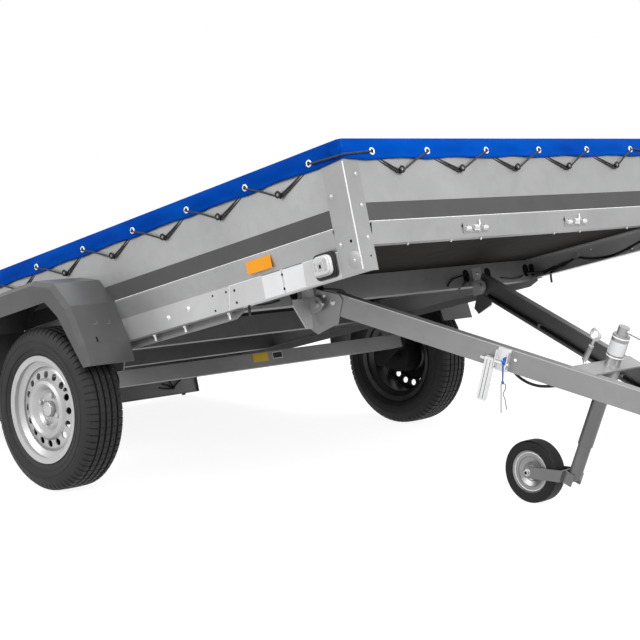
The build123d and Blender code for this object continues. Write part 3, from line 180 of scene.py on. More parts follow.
def show(tree, kind, unseen, seen):
    """Ends a tree with one shader for what the camera sees and another for all other light."""
    mix = add_node(tree, "MixShader", {0: seen_directly(tree), 1: unseen, 2: seen})
    add_node(tree, "Output" + kind, {0: mix})


def use_empty_nodes(owner):
    owner.use_nodes = True
    owner.node_tree.nodes.clear()
    return owner.node_tree


def add_studio():
    world = bpy.data.worlds.new("studio")
    bpy.context.scene.world = world
    tree = use_empty_nodes(world)
    fill = add_node(tree, "Background", {"Color": FILL_COLOUR, "Strength": FILL_STRENGTH})
    show(tree, "World", fill, add_node(tree, "Background", {"Color": WHITE, "Strength": 1.0}))

    mesh = bpy.data.meshes.new("floor")
    corners = ((-1, -1), (1, -1), (1, 1), (-1, 1))
    mesh.from_pydata([(x * FLOOR_REACH, y * FLOOR_REACH, 0) for x, y in corners], [], [(0, 1, 2, 3)])
    floor = new_object("floor", mesh)
    floor.location.z = FLOOR_Z
    material = bpy.data.materials.new("floor")
    tree = use_empty_nodes(material)
    shade = add_node(tree, "BsdfDiffuse", {"Color": FLOOR_SHADE})
    glow = add_node(tree, "Emission", {"Strength": FLOOR_GLOW})
    both = add_node(tree, "AddShader", {0: shade, 1: glow})
    show(tree, "Material", add_node(tree, "BsdfDiffuse", {"Color": FLOOR_DULL}), both)
    mesh.materials.append(material)

    for name, place, size, power in LIGHTS:
        add_light(name, from_axle(place), from_axle(LIGHTS_AIM), size, power)


# ---- materials
MATERIALS = {}


class Shader:
    """A Principled material whose colour, roughness and bump come from nodes."""

    def __init__(self, name, metallic=0.0, specular=0.5, transmission=0.0):
        MATERIALS[name] = bpy.data.materials.new(name)
        MATERIALS[name].use_nodes = True
        self.tree = MATERIALS[name].node_tree
        self.main = self.tree.nodes["Principled BSDF"]
        for name, value in (("Metallic", metallic), ("Specular IOR Level", specular),
                            ("Transmission Weight", transmission)):
            self.main.inputs[name].default_value = value
        self.where = self.node("TexCoord", out="Object")

    def node(self, kind, inputs=None, out=0, **settings):
        return add_node(self.tree, kind, inputs, out, **settings)

    def noise(self, scale, detail):
        return self.node("TexNoise", {"Vector": self.where, "Scale": scale, "Detail": detail}, "Fac")

    def cells(self, scale):
        return self.node("TexVoronoi", {"Vector": self.where, "Scale": scale}, "Color")

    def ramp(self, source, dark, light, low=0.3, high=0.7):
        """Turns a value into a colour between two, which may be given as greys."""
        output = self.node("ValToRGB", {0: source})
        ends = output.node.color_ramp.elements
        for end, place, colour in zip(ends, (low, high), (dark, light)):
            end.position = place
            end.color = (*(grey(colour) if isinstance(colour, float) else colour), 1)
        return output

    def mixed(self, factor, a, b):
        """Mixes two colours, which are a Mix node's inputs 6 and 7."""
        return self.node("Mix", {0: factor, 6: a, 7: b}, 2, data_type="RGBA")

    def feed(self, name, source):
        self.tree.links.new(source, self.main.inputs[name])
        return source

    def colour(self, source):
        self.feed("Base Color", source)

    def rough(self, scale, detail, low, high):
        source = self.node("MapRange", {0: self.noise(scale, detail), "To Min": low, "To Max": high})
        self.feed("Roughness", source)

    def bump(self, height, strength, distance, over=None):
        inputs = {"Height": height, "Strength": strength, "Distance": distance}
        if over:
            inputs["Normal"] = over
        return self.feed("Normal", self.node("Bump", inputs))


METALS = {  # dark, light, metallic, least and most roughness, crystals in a metre
    "galvanised": (0.32, 0.40, 0.55, 0.36, 0.48),
    "galvanised_post": (0.29, 0.36, 0.50, 0.34, 0.46),
    "galvanised_plate": (0.47, 0.56, 0.55, 0.30, 0.42),
    "galvanised_beam": (0.24, 0.31, 0.55, 0.36, 0.48),
    "galvanised_dull": (0.22, 0.31, 0.35, 0.50, 0.62),
    "tube_steel": (0.14, 0.20, 0.45, 0.32, 0.44),
    "zinc": (0.44, 0.58, 0.80, 0.26, 0.38, 90.0),
    "zinc_bright": (0.66, 0.80, 0.60, 0.24, 0.34, 90.0),
    # near white: painted highlight where light catches edges, ridges and rings
    "painted_highlight": (0.93, 0.97, 0.25, 0.30, 0.40, 90.0),
    "jockey_silver": (0.21, 0.31, 0.65, 0.26, 0.36, 200.0),
}
CRYSTALS_SHARE = 0.28
PLAINS = {  # dark, light, roughness, specular, grain, bump, metallic, transmission
    "drum_iron": (0.010, 0.018, 0.65, 0.2),
    # near black: painted shade laid over holes and slots, which are not cut
    "painted_hole_shade": (0.006, 0.010, 0.70, 0.1),
    "fender_plastic": (0.060, 0.076, 0.42, 0.5, 700.0, 0.25),
    # lighter grey for the fenders' moulded corner marks
    "fender_mark_grey": (0.11, 0.14, 0.42, 0.5, 700.0),
    "black_plastic": (0.008, 0.014, 0.45, 0.3),
    "stripe": (0.062, 0.075, 0.50, 0.3),
    "tyre_rubber": (0.012, 0.020, 0.60, 0.3, 900.0, 0.30),
    "jockey_rubber": (0.004, 0.008, 0.55, 0.25, 900.0, 0.30),
    "floor_board": ((0.012, 0.010, 0.009), (0.020, 0.017, 0.015), 0.70, 0.04, 150.0),
    "rope": (0.010, 0.022, 0.70, 0.5, 900.0, 0.60),
    "white_label": (0.80, 0.88, 0.40),
    "yellow_label": ((0.92, 0.60, 0.02), (0.98, 0.68, 0.03), 0.40),
    "amber_lens": ((0.95, 0.34, 0.002), (1.0, 0.40, 0.003), 0.22, 0.3, 60.0),
    "red_lens": ((0.42, 0.01, 0.008), (0.5, 0.014, 0.01), 0.16, 0.5, 60.0),
    "clear_lens": (0.84, 0.94, 0.12, 0.5, 60.0, 0.15, 0.0, 0.25),
    "lamp_mirror": (0.42, 0.55, 0.25, 0.5, 60.0, 0.15, 0.4),
    "blue_string": ((0.01, 0.11, 0.50), (0.02, 0.16, 0.62), 0.60, 0.5, 900.0, 0.60),
}
ROUGHNESS_SPREAD = 0.06
TARPAULIN_BLUES = ((0.0, 0.048, 0.35), (0.0, 0.074, 0.43))
WEAVE_SCALE = 700.0
TUBE_DARK_Z = (0.36, 0.45)  # the jockey tube turns from darker to bright between these heights
DISC_BACK_Y = 0.028  # the wheel's barrel is only painted bright outside this, and painted shade inside it


def make_metal(name, dark, light, metallic, least, most, spangle=34.0):
    shader = Shader(name, metallic)
    patches = shader.ramp(shader.noise(3.5, 3.0), dark, light)
    crystals = shader.ramp(shader.cells(spangle), dark, light, 0.0, 1.0)
    shader.colour(shader.mixed(CRYSTALS_SHARE, patches, crystals))
    shader.rough(11.0, 5.0, least, most)
    shader.bump(shader.noise(240.0, 2.0), 0.06, 0.0005)


def make_plain(name, dark, light, roughness, specular=0.5, grain=400.0, bump=0.15,
               metallic=0.0, transmission=0.0):
    shader = Shader(name, metallic, specular, transmission)
    shader.colour(shader.ramp(shader.noise(9.0, 5.0), dark, light))
    shader.rough(23.0, 4.0, roughness - ROUGHNESS_SPREAD, roughness + ROUGHNESS_SPREAD)
    shader.bump(shader.noise(grain, 2.0), bump, 0.0004)


def make_tarpaulin():
    """Woven blue cloth with soft creases under the weave."""
    shader = Shader("tarpaulin", specular=0.02)
    shader.colour(shader.ramp(shader.noise(5.0, 6.0), *TARPAULIN_BLUES))
    shader.rough(14.0, 4.0, 0.30, 0.46)
    creases = shader.bump(shader.noise(4.5, 1.0), 0.55, 0.022)
    weave = shader.node("TexChecker", {"Vector": shader.where, "Scale": WEAVE_SCALE}, "Fac")
    shader.bump(weave, 0.08, 0.0003, over=creases)


def make_tube_zinc():
    """Bright zinc above the clamp, darker towards the bottom below the beams."""
    shader = Shader("tube_zinc", metallic=0.7)
    height = shader.node("SeparateXYZ", {0: shader.where}, "Z")
    low, high = TUBE_DARK_Z
    share = shader.node("MapRange", {0: height, "From Min": low, "From Max": high})
    shader.colour(shader.ramp(share, 0.15, 0.50, 0.0, 1.0))
    shader.rough(11.0, 5.0, 0.28, 0.40)


def make_wheel_silver():
    """Silver on a wheel's outer side, and dark with painted shade on the barrel inside it and on faces
    turned inward.
    """
    shader = Shader("rim_silver", metallic=0.5)

    def combine(operation, a, b):
        return shader.node("Math", {0: a, 1: b}, operation=operation)

    across = shader.node("SeparateXYZ", {0: shader.where}, "Y")
    facing_y = shader.node("SeparateXYZ", {0: shader.node("TexCoord", out="Normal")}, "Y")
    side = combine("SIGN", across, 0.0)
    beyond = combine("GREATER_THAN", combine("MULTIPLY", across, side), WHEEL_Y + DISC_BACK_Y)
    outward = combine("GREATER_THAN", combine("MULTIPLY", facing_y, side), -0.2)
    silver = shader.ramp(shader.noise(9.0, 5.0), 0.44, 0.52)
    # painted shade, for how little light reaches into the wheel's barrel
    painted_shade = shader.ramp(shader.noise(14.0, 6.0), 0.035, 0.075)
    shader.colour(shader.mixed(combine("MULTIPLY", beyond, outward), painted_shade, silver))
    shader.rough(23.0, 4.0, 0.30, 0.40)
    shader.bump(shader.noise(600.0, 2.0), 0.1, 0.0004)


CAD_MATERIALS = {
    "galvanised": "left_side_wall right_side_wall front_wall jockey_bracket tailgate "
                  "lock_catches jockey_head",
    "galvanised_beam": "left_drawbar_beam right_drawbar_beam pivot_plates",
    "galvanised_post": "front_posts rear_posts",
    "galvanised_plate": "side_plates side_rails pivot_brackets",
    "galvanised_dull": "side_angles front_cross_member mid_cross_members "
                       "rear_cross_member axle_beam axle_brackets lamp_board",
    "tube_steel": "jockey_inner_tube jockey_fork spring_clip",
    "tube_zinc": "jockey_tube",
    "zinc": "jockey_crank coupling_head coupling_handle pivot_bolts tailgate_hinges",
    "zinc_bright": "lock_bracket lock_lever clamp_handle",
    "rim_silver": "left_rim right_rim",
    "jockey_silver": "jockey_rim",
    "drum_iron": "left_hub right_hub swing_arms",
    "tyre_rubber": "left_tyre right_tyre",
    "jockey_rubber": "jockey_tyre",
    "fender_plastic": "left_fender right_fender",
    "black_plastic": "wiring_harness cover_hooks",
    "amber_lens": "side_reflectors",
    "red_lens": "rear_lamps",
    "floor_board": "floor_panel",
    "tarpaulin": "cover",
}


def make_materials():
    for name, values in METALS.items():
        make_metal(name, *values)
    for name, values in PLAINS.items():
        make_plain(name, *values)
    make_tarpaulin()
    make_tube_zinc()
    make_wheel_silver()


def dress_cad_nodes():
    for material, names in CAD_MATERIALS.items():
        for name in names.split():
            node = frame["nodes"][name]
            if not node.material_slots:
                node.data.materials.append(MATERIALS[material])
            for slot in node.material_slots:
                slot.material = MATERIALS[material]


# ---- pieces
def put(name, data, material, body):
    """Puts a finished mesh or curve into the scene, riding on its body."""
    data.materials.append(MATERIALS[material])
    piece = new_object(name, data)
    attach(piece, body)
    return piece


def put_mesh(name, mesh, material, body="chassis", sharp=35.0):
    """As put, with faces that meet at less than the sharp angle shaded as one surface."""
    for polygon in mesh.polygons:
        polygon.use_smooth = True
    mesh.set_sharp_from_angle(angle=radians(sharp))
    return put(name, mesh, material, body)


def grid_faces(rows, width, closed=False):
    """Faces between rows of points, and from the last row to the first if closed."""
    faces = []
    for i in range(rows if closed else rows - 1):
        n = (i + 1) % rows
        for j in range(width - 1):
            faces.append((i * width + j, i * width + j + 1, n * width + j + 1, n * width + j))
    return faces


FULL_TURN = 2 * pi


class Part:
    """Collects simple shapes into one mesh. Each shape is placed by a matrix."""

    def __init__(self, name):
        self.name = name
        self.mesh = bmesh.new()

    def box(self, place, low, high):
        size = [b - a for a, b in zip(low, high)]
        middle = [(a + b) / 2 for a, b in zip(low, high)]
        matrix = place @ Matrix.Translation(middle) @ Matrix.Diagonal((*size, 1))
        bmesh.ops.create_cube(self.mesh, size=1.0, matrix=matrix)

    def disc(self, place, radius, height, top=None, sides=20):
        """Stands on its place's own ground plane, along its z."""
        bmesh.ops.create_cone(self.mesh, cap_ends=True, segments=sides, radius1=radius,
                              radius2=radius if top is None else top, depth=height,
                              matrix=place @ Matrix.Translation((0, 0, height / 2)))

    def ball(self, place, radius):
        bmesh.ops.create_icosphere(self.mesh, subdivisions=3, radius=radius, matrix=place)

    def lathe(self, place, profile, steps=32, start=0.0, turn=FULL_TURN):
        """Turns (radius, height) points about the place's z axis, from a start angle."""
        rows = []
        for i in range(steps if turn == FULL_TURN else steps + 1):
            angle = start + turn * i / steps
            rows.append([self.mesh.verts.new(place @ Vector((r * cos(angle), r * sin(angle), z)))
                         for r, z in profile])
        for i in range(steps):
            a, b = rows[i], rows[(i + 1) % len(rows)]
            for j in range(len(profile) - 1):
                self.mesh.faces.new((a[j], b[j], b[j + 1], a[j + 1]))

    def ring(self, place, radius, thick, steps=28, sides=10):
        turns = [FULL_TURN * k / sides for k in range(sides + 1)]
        self.lathe(place, [(radius + thick * cos(a), thick * sin(a)) for a in turns], steps)

    def prism(self, place, outline, height):
        """An outline of (x, y) points drawn up along the place's z."""
        low = [self.mesh.verts.new(place @ Vector((x, y, 0))) for x, y in outline]
        high = [self.mesh.verts.new(place @ Vector((x, y, height))) for x, y in outline]
        self.mesh.faces.new(low[::-1])
        self.mesh.faces.new(high)
        count = len(outline)
        for i in range(count):
            j = (i + 1) % count
            self.mesh.faces.new((low[i], low[j], high[j], high[i]))

    def finish(self, material, body="chassis", bevel=0.0, sharp=35.0):
        bmesh.ops.recalc_face_normals(self.mesh, faces=self.mesh.faces)
        mesh = bpy.data.meshes.new(self.name)
        self.mesh.to_mesh(mesh)
        self.mesh.free()
        piece = put_mesh(self.name, mesh, material, body, sharp)
        if bevel:
            soften = piece.modifiers.new("edges", "BEVEL")
            soften.width = bevel
            soften.segments = 2
            soften.limit_method = "ANGLE"
        return piece


def facing(base, at, out, across):
    """A place at a point of a working frame, its z pointing out and its x across."""
    out, across = Vector(out), Vector(across)
    return base @ axes(across, out.cross(across), out, at)


def on_side(u, w, side, depth=PANEL_Y):
    """A place on a side of the box, x along the bed and y up; side is -1 for the right."""
    return facing(CHASSIS, (u, side * depth, w), (0, side, 0), (-side, 0, 0))


def on_front(v, w, depth=PANEL_FRONT_U):
    return facing(CHASSIS, (depth, v, w), (1, 0, 0), (0, 1, 0))


def under(u, v, w):
    """A place on the chassis with its z pointing down."""
    return facing(CHASSIS, (u, v, w), (0, 0, -1), (1, 0, 0))


def sideways(at, side, off=0.0):
    """A place some way off a point to one side of the trailer, its z pointing out to that side."""
    return facing(Matrix.Identity(4), at + Vector((0, side * off, 0)), (0, side, 0), (1, 0, 0))


def on_chassis(points):
    return [CHASSIS @ Vector(point) for point in points]


def rounded(width, height, radius, steps=5):
    """Outline of a rectangle with round corners, about its middle."""
    points = []
    for corner in range(4):
        sx = 1 if corner in (0, 3) else -1
        sy = 1 if corner in (0, 1) else -1
        for k in range(steps + 1):
            angle = pi / 2 * (corner + k / steps)
            points.append((sx * (width / 2 - radius) + radius * cos(angle),
                           sy * (height / 2 - radius) + radius * sin(angle)))
    return points


def add_curves(name, lines, radius, material, body="chassis", smooth=False):
    """Round cords along lists of points, as one curve object."""
    data = bpy.data.curves.new(name, "CURVE")
    data.dimensions = "3D"
    data.bevel_depth = radius
    data.bevel_resolution = 3
    data.use_fill_caps = True
    for line in lines:
        spline = data.splines.new("NURBS" if smooth else "POLY")
        spline.points.add(len(line) - 1)
        for point, at in zip(spline.points, line):
            point.co = (*at, 1)
        if smooth:
            spline.order_u = 3
            spline.use_endpoint_u = True
            spline.resolution_u = 8
    return put(name, data, material, body)


# ---- tyres
WHEELS = (("left", 1), ("right", -1))
TYRE_HALF = 0.0785
TREAD_HALF = 0.054
TREAD_DROP = 0.0022  # how much lower the tread's edges lie than its crown
GROOVE_WIDTH = 0.0075
GROOVE_DEPTH = 0.007
GROOVE_SLOPE = 0.001
RIB_EDGE = 0.006  # the ribs' sipes fade within this of a groove
RIB_CUT = 0.6  # and cut this share of their depth on the middle ribs
# each groove on one half of the tread, and how much sipes cut the rib outside it and that rib's edge
GROOVES = ((0.036, 1.0, 1.0), (0.012, RIB_CUT, 0.0))
SIPES = 72
SIPE_STEPS = (0.0, 0.34, 0.38, 0.52, 0.56)  # within a pitch; the sipe lies at the third and fourth
SIPE_DEPTH = 0.0045
SIPE_LEAN = 0.09  # how far a sipe turns round the tyre, in radians per metre across
SHOULDER = (0.010, 0.02)  # sipes reach down the sidewall to this inset and drop
SIDEWALL = (  # (in from the widest point, down from the crown), bead to shoulder
    (0.0265, 0.1075), (0.0165, 0.1070), (0.0160, 0.0955), (0.0100, 0.0870), (0.0060, 0.0800),
    (0.0045, 0.0735), (0.0020, 0.0728), (0.0010, 0.0690), (0.0022, 0.0682), (0.0000, 0.0555),
    (0.0004, 0.0500), (0.0018, 0.0492), (0.0022, 0.0430), (0.0010, 0.0422), (0.0030, 0.0335),
    (0.0060, 0.0255), (0.0105, 0.0155), (0.0150, 0.0095), (0.0205, 0.0055),
)


def tread_line():
    """(across, radius, how much a sipe cuts) from one bead to the other."""
    half = [(TYRE_HALF - inset, TYRE_R - drop, 1.0 if SHOULDER[0] < inset and drop < SHOULDER[1] else 0.0)
            for inset, drop in SIDEWALL]
    half.append((TREAD_HALF, TYRE_R - TREAD_DROP, 1.0))
    edge = GROOVE_WIDTH / 2
    for groove, rib_cut, edge_cut in GROOVES:
        top = TYRE_R - TREAD_DROP * (groove / TREAD_HALF) ** 2
        half += [(groove + edge + RIB_EDGE, top, rib_cut),
                 (groove + edge, top, edge_cut),
                 (groove + edge - GROOVE_SLOPE, top - GROOVE_DEPTH, 0.0),
                 (groove - edge + GROOVE_SLOPE, top - GROOVE_DEPTH, 0.0),
                 (groove - edge, top, 0.0),
                 (groove - edge - RIB_EDGE, top, RIB_CUT)]
    return [(-y, r, cut) for y, r, cut in half] + half[::-1]


def add_tyre(side, sign):
    line = tread_line()
    centre = Vector((WHEEL_AT.x, sign * WHEEL_Y, WHEEL_AT.z))
    verts = []
    for pitch in range(SIPES):
        for k, share in enumerate(SIPE_STEPS):
            angle = 2 * pi * (pitch + share) / SIPES
            cut = SIPE_DEPTH if k in (2, 3) else 0.0
            for across, r, much in line:
                a = angle + SIPE_LEAN * abs(across)
                r -= cut * much
                verts.append(centre + Vector((r * cos(a), across, r * sin(a))))
    mesh = bpy.data.meshes.new(side + "_tyre_tread")
    mesh.from_pydata(verts, [], grid_faces(SIPES * len(SIPE_STEPS), len(line), closed=True))
    mesh.validate()
    piece = put_mesh(side + "_tyre_tread", mesh, "tyre_rubber", side + "_wheel", sharp=30.0)
    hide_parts(side + "_tyre")


# ---- cover
COVER_EDGE_V = 0.7785
COVER_FRONT_U = 1.4035
COVER_TOP = 0.5405
COVER_DROP = 0.059
COVER_CORNER = 0.012
# (u, w) outline of the cloth tucked in at each front corner, and its thickness
COVER_FOLD = ((1.402, 0.538), (1.352, 0.536), (1.362, 0.512), (1.384, 0.486), (1.398, 0.500))
COVER_FOLD_T = 0.0035
COVER_ROWS = 150  # along the bed
COVER_COLUMNS = 84  # across the bed
COVER_DROP_ROWS = 9
CORNER_STEPS = 4
CLOTH = 0.0008
SAG = 0.010
SAG_MARGIN = 0.10  # the sag grows to its full depth over this margin
SKIRT_BULGE = 0.0035
SKIRT_FLUTTER = 0.0036
FLUTTER_TURN = 0.4  # how far the flutter shifts along on its way down to the hem
SKIRT_INWARD = -0.001  # the skirt goes no further in than this
BULGE_END = 1.3  # the bulge ends at 1 / 1.3 of the drop
HEM_DIP = 0.004  # the hem hangs this much lower at an eyelet than midway between two
HEM_DIP_MEAN = 0.4  # the pull at which the hem hangs at its plain height
HEM_FLUTTER = 0.0015
UNEVEN_SAG = 0.5  # how much the waves change the sag
# of each sine: how fast it turns with a, with b and with the seed, and its height
WAVES = ((23.0, 9.0, 1.0, 0.5), (41.0, -17.0, 2.3, 0.3), (97.0, 31.0, 3.1, 0.2))
EYELET_REACH = 0.11  # how far along the skirt an eyelet pulls
EYELET_W = 0.503
EYELET_RING = (0.0085, 0.0025)  # radius, thickness
EYELET_HOLE = (0.0070, 0.0006)
EYELET_OUT = 0.0015  # off the skirt
FOLD_OUT = 0.0005
SIDE_EYELET_U = [1.273 - 0.279 * i for i in range(9)]
FRONT_EYELET_V = [-0.654, -0.414, -0.137, 0.131, 0.395, 0.654]
SIDE_HOOK_U = [1.130 - 0.273 * i for i in range(9)]
FRONT_HOOK_V = [-0.546, -0.273, 0.0, 0.273, 0.546]
HOOK_W = 0.448


def cover_edge():
    """(u, v, outward u, outward v) along the right edge, from the tail round the front corner."""
    points = []
    for i in range(COVER_ROWS):
        u = REAR_U + (COVER_FRONT_U - COVER_CORNER - REAR_U) * i / (COVER_ROWS - 1)
        points.append((u, -COVER_EDGE_V, 0.0, -1.0))
    for k in range(1, CORNER_STEPS + 1):
        angle = pi / 2 * k / CORNER_STEPS
        du, dv = sin(angle), -cos(angle)
        points.append((COVER_FRONT_U - COVER_CORNER + COVER_CORNER * du,
                       -COVER_EDGE_V + COVER_CORNER + COVER_CORNER * dv, du, dv))
    return points


def pull(u, v, side):
    """How strongly the nearest eyelet pulls on the skirt, from 0 to 1."""
    eyelets = SIDE_EYELET_U if side else FRONT_EYELET_V
    near = min(abs((u if side else v) - place) for place in eyelets)
    return max(0.0, 1.0 - near / EYELET_REACH)


def wave(a, b, seed):
    """Smooth wrinkles from a few sines of unequal lengths."""
    return sum(sin(a * p + b * q + seed * turn) * height for p, q, turn, height in WAVES)


def cover_mesh():
    """The cloth's outer face: the top, row by row, and the skirt hung round three of its edges."""
    right = cover_edge()
    left = [(u, -v, du, -dv) for u, v, du, dv in right]
    verts = []
    for (u, v, _, _), (_, v2, _, _) in zip(right, left):
        for j in range(COVER_COLUMNS + 1):
            across = v + (v2 - v) * (j / COVER_COLUMNS)
            inside = min(1.0, (COVER_EDGE_V - abs(across)) / SAG_MARGIN,
                         max(0.0, (COVER_FRONT_U - u) / SAG_MARGIN))
            sag = SAG * max(inside, 0.0) * (1 + UNEVEN_SAG * wave(u, across, seed=0.4))
            verts.append((u, across, COVER_TOP - sag))
    width = COVER_COLUMNS + 1
    faces = grid_faces(len(right), width)
    last = (len(right) - 1) * width
    edge = [(i * width, *point) for i, point in enumerate(right)]
    edge += [(last + j, verts[last + j][0], verts[last + j][1], 1.0, 0.0) for j in range(1, COVER_COLUMNS)]
    edge += [(i * width + COVER_COLUMNS, *left[i]) for i in range(len(left) - 1, -1, -1)]
    above = [place for place, *_ in edge]
    for r in range(1, COVER_DROP_ROWS + 1):
        share = r / COVER_DROP_ROWS
        below = []
        for _, u, v, du, dv in edge:
            tug = pull(u, v, abs(dv) > 0.5)
            out = SKIRT_BULGE * sin(pi * min(share * BULGE_END, 1.0)) * (1 - tug)
            out += SKIRT_FLUTTER * wave(u + v, share * FLUTTER_TURN, seed=1.7) * share
            out = max(out, SKIRT_INWARD)
            down = COVER_DROP * share + HEM_DIP * share * (tug - HEM_DIP_MEAN)
            down += HEM_FLUTTER * share * wave(u - v, 0.0, seed=4.2)
            below.append(len(verts))
            verts.append((u + du * out, v + dv * out, COVER_TOP - down))
        for k in range(len(edge) - 1):
            faces.append((above[k + 1], above[k], below[k], below[k + 1]))
        above = below
    mesh = bpy.data.meshes.new("cover_sheet")
    mesh.from_pydata(on_chassis(verts), [], faces)
    mesh.validate()
    return mesh


def add_cover():
    piece = put_mesh("cover_sheet", cover_mesh(), "tarpaulin", sharp=80.0)
    thick = piece.modifiers.new("cloth", "SOLIDIFY")
    thick.thickness = CLOTH
    thick.offset = -1.0
    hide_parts("cover")
    rings = Part("cover_eyelets")
    holes = Part("cover_eyelet_holes")
    eyelets = [on_side(u, EYELET_W, side, COVER_EDGE_V + EYELET_OUT)
               for side in (-1, 1) for u in SIDE_EYELET_U]
    eyelets += [on_front(v, EYELET_W, COVER_FRONT_U + EYELET_OUT) for v in FRONT_EYELET_V]
    for place in eyelets:
        rings.ring(place, *EYELET_RING)
        holes.disc(place, *EYELET_HOLE)
    folds = Part("cover_corner_folds")
    for side in (-1, 1):
        outline = [(-side * u, w) for u, w in COVER_FOLD][::side]
        folds.prism(on_side(0, 0, side, COVER_EDGE_V + FOLD_OUT), outline, COVER_FOLD_T)
    # the rings are near white, painted highlight on bright metal; the holes are painted shade
    rings = rings.finish("painted_highlight")
    holes = holes.finish("painted_hole_shade")
    folds = folds.finish("tarpaulin", bevel=0.0012)


ROPE_R = 0.0029
LOOP_R = ROPE_R * 0.85
LOOP_GAP = 0.0036  # from the middle of a doubled rope to each strand
HEM_W = 0.481
ROPE_W = HOOK_W - 0.008  # where the rope lies round a hook
LOOP_UNDER = 0.72  # share of the way to the eyelet ahead where the doubled rope goes behind the hem
ROPE_OVER = 0.55  # share of the way to the eyelet behind where the single rope crosses the hem
LOOP_LEAN = 0.1  # and how much further its end goes
HOOK_OUT = 0.006  # off the wall at a hook
# (w, how far off the skirt's face) of each turn in the doubled and in the single rope
DOUBLE_TURNS = ((HEM_W, -0.008), (HEM_W + 0.008, -0.009))
SINGLE_TURNS = ((HEM_W - 0.004, 0.004), (EYELET_W - 0.002, 0.007), (EYELET_W, 0.001))
CORNER_ROPE = (  # (u, v, w) round the left front corner, from eyelet to eyelet
    (SIDE_EYELET_U[0], COVER_EDGE_V + 0.001, EYELET_W),
    (SIDE_EYELET_U[0] + 0.02, COVER_EDGE_V + 0.007, EYELET_W - 0.004),
    (COVER_FRONT_U + 0.002, COVER_EDGE_V + 0.007, EYELET_W - 0.010),
    (COVER_FRONT_U + 0.007, COVER_EDGE_V + 0.002, EYELET_W - 0.009),
    (COVER_FRONT_U + 0.007, 0.672, EYELET_W - 0.002),
    (COVER_FRONT_U + 0.001, 0.654, EYELET_W),
)


def lacing(hooks, eyelets, hook_depth, skirt_depth, at):
    """Rope from each hook: doubled up behind the skirt, and single over it to the next eyelet."""
    single, double = [], []

    def turns(places, heights):
        return [at(place, w, skirt_depth + out) for place, (w, out) in zip(places, heights)]

    for hook, (ahead, behind) in zip(hooks, zip(eyelets, eyelets[1:])):
        start = at(hook, ROPE_W, hook_depth + HOOK_OUT)
        top = hook + (ahead - hook) * LOOP_UNDER
        double.append([start] + turns((top, top + (ahead - hook) * LOOP_LEAN), DOUBLE_TURNS))
        middle = hook + (behind - hook) * ROPE_OVER
        single.append([start] + turns((middle, behind, behind), SINGLE_TURNS))
    return single, double


def add_rope():
    runs = [(SIDE_HOOK_U, SIDE_EYELET_U, PANEL_Y, COVER_EDGE_V,
             lambda u, w, depth, side=side: CHASSIS @ Vector((u, side * depth, w))) for side in (-1, 1)]
    runs.append((FRONT_HOOK_V, FRONT_EYELET_V, PANEL_FRONT_U, COVER_FRONT_U,
                 lambda v, w, depth: CHASSIS @ Vector((depth, v, w))))
    lines, doubled = [], []
    for run in runs:
        single, double = lacing(*run)
        lines += single
        doubled += double
    for side in (-1, 1):
        lines.append(on_chassis((u, side * v, w) for u, v, w in CORNER_ROPE))
    add_curves("cover_rope", lines, ROPE_R, "rope")
    strands = []
    for line in doubled:
        along = (line[1] - line[0]).normalized()
        off = along.cross(CHASSIS.to_3x3() @ Vector((0, 0, 1))).normalized()
        aside = along.cross(off).normalized() * LOOP_GAP
        strands.append([point + aside for point in line])
        strands.append([point - aside for point in line])
    add_curves("cover_rope_loops", strands, LOOP_R, "rope")


# ---- markings of the box
SIDE_RUN = (REAR_U + 0.115, FRONT_U - POST_SIDE)  # the side wall between its posts
FRONT_RUN = (-(HALF_WIDTH - POST_FRONT - 0.002), HALF_WIDTH - POST_FRONT - 0.002)
STRIPE_W = (0.3045, 0.357)
LABELS_U = ((0.986, 1.070), (1.078, 1.165))
LABELS_W = (0.167, 0.2375)


def side_patch(part, side, run, height, thick, depth=PANEL_Y):
    """A thin patch on a side of the box, over a run along the bed and a range of height."""
    low, high = sorted(-side * u for u in run)
    part.box(on_side(0, 0, side, depth), (low, height[0], 0.0), (high, height[1], thick))


def front_patch(part, run, height, thick, depth=PANEL_FRONT_U):
    part.box(on_front(0, 0, depth), (run[0], height[0], 0.0), (run[1], height[1], thick))


def add_markings():
    stripe = Part("stripes")
    labels = Part("blank_labels")
    for side in (-1, 1):
        side_patch(stripe, side, SIDE_RUN, STRIPE_W, SKIN)
        for run in LABELS_U:
            side_patch(labels, side, run, LABELS_W, SKIN, HALF_WIDTH)
    front_patch(stripe, FRONT_RUN, STRIPE_W, SKIN)
    stripe.finish("stripe", "chassis")
    labels.finish("white_label")


# ---- fixings on the box
# outlines turned about an axis, in shares of the radius and of the height
BOLT_LINE = ((0.0, 1.0), (0.55, 1.0), (0.9, 0.7), (1.0, 0.2))
DIMPLE_LINE = ((0.0, 1.0), (0.4, 0.9), (0.75, 0.5), (1.0, 0.0))
WASHER_SHARE = (1.35, 0.25)  # a bolt's washer, in shares of the head's radius and height


def dome(part, place, line, radius, height, steps):
    part.lathe(place, [(radius * r, height * h) for r, h in line], steps)


def bolt(part, place, radius=0.0050, height=0.0035):
    """A washer with a low round head on it."""
    part.disc(place, radius * WASHER_SHARE[0], height * WASHER_SHARE[1], sides=24)
    dome(part, place, BOLT_LINE, radius, height, steps=20)


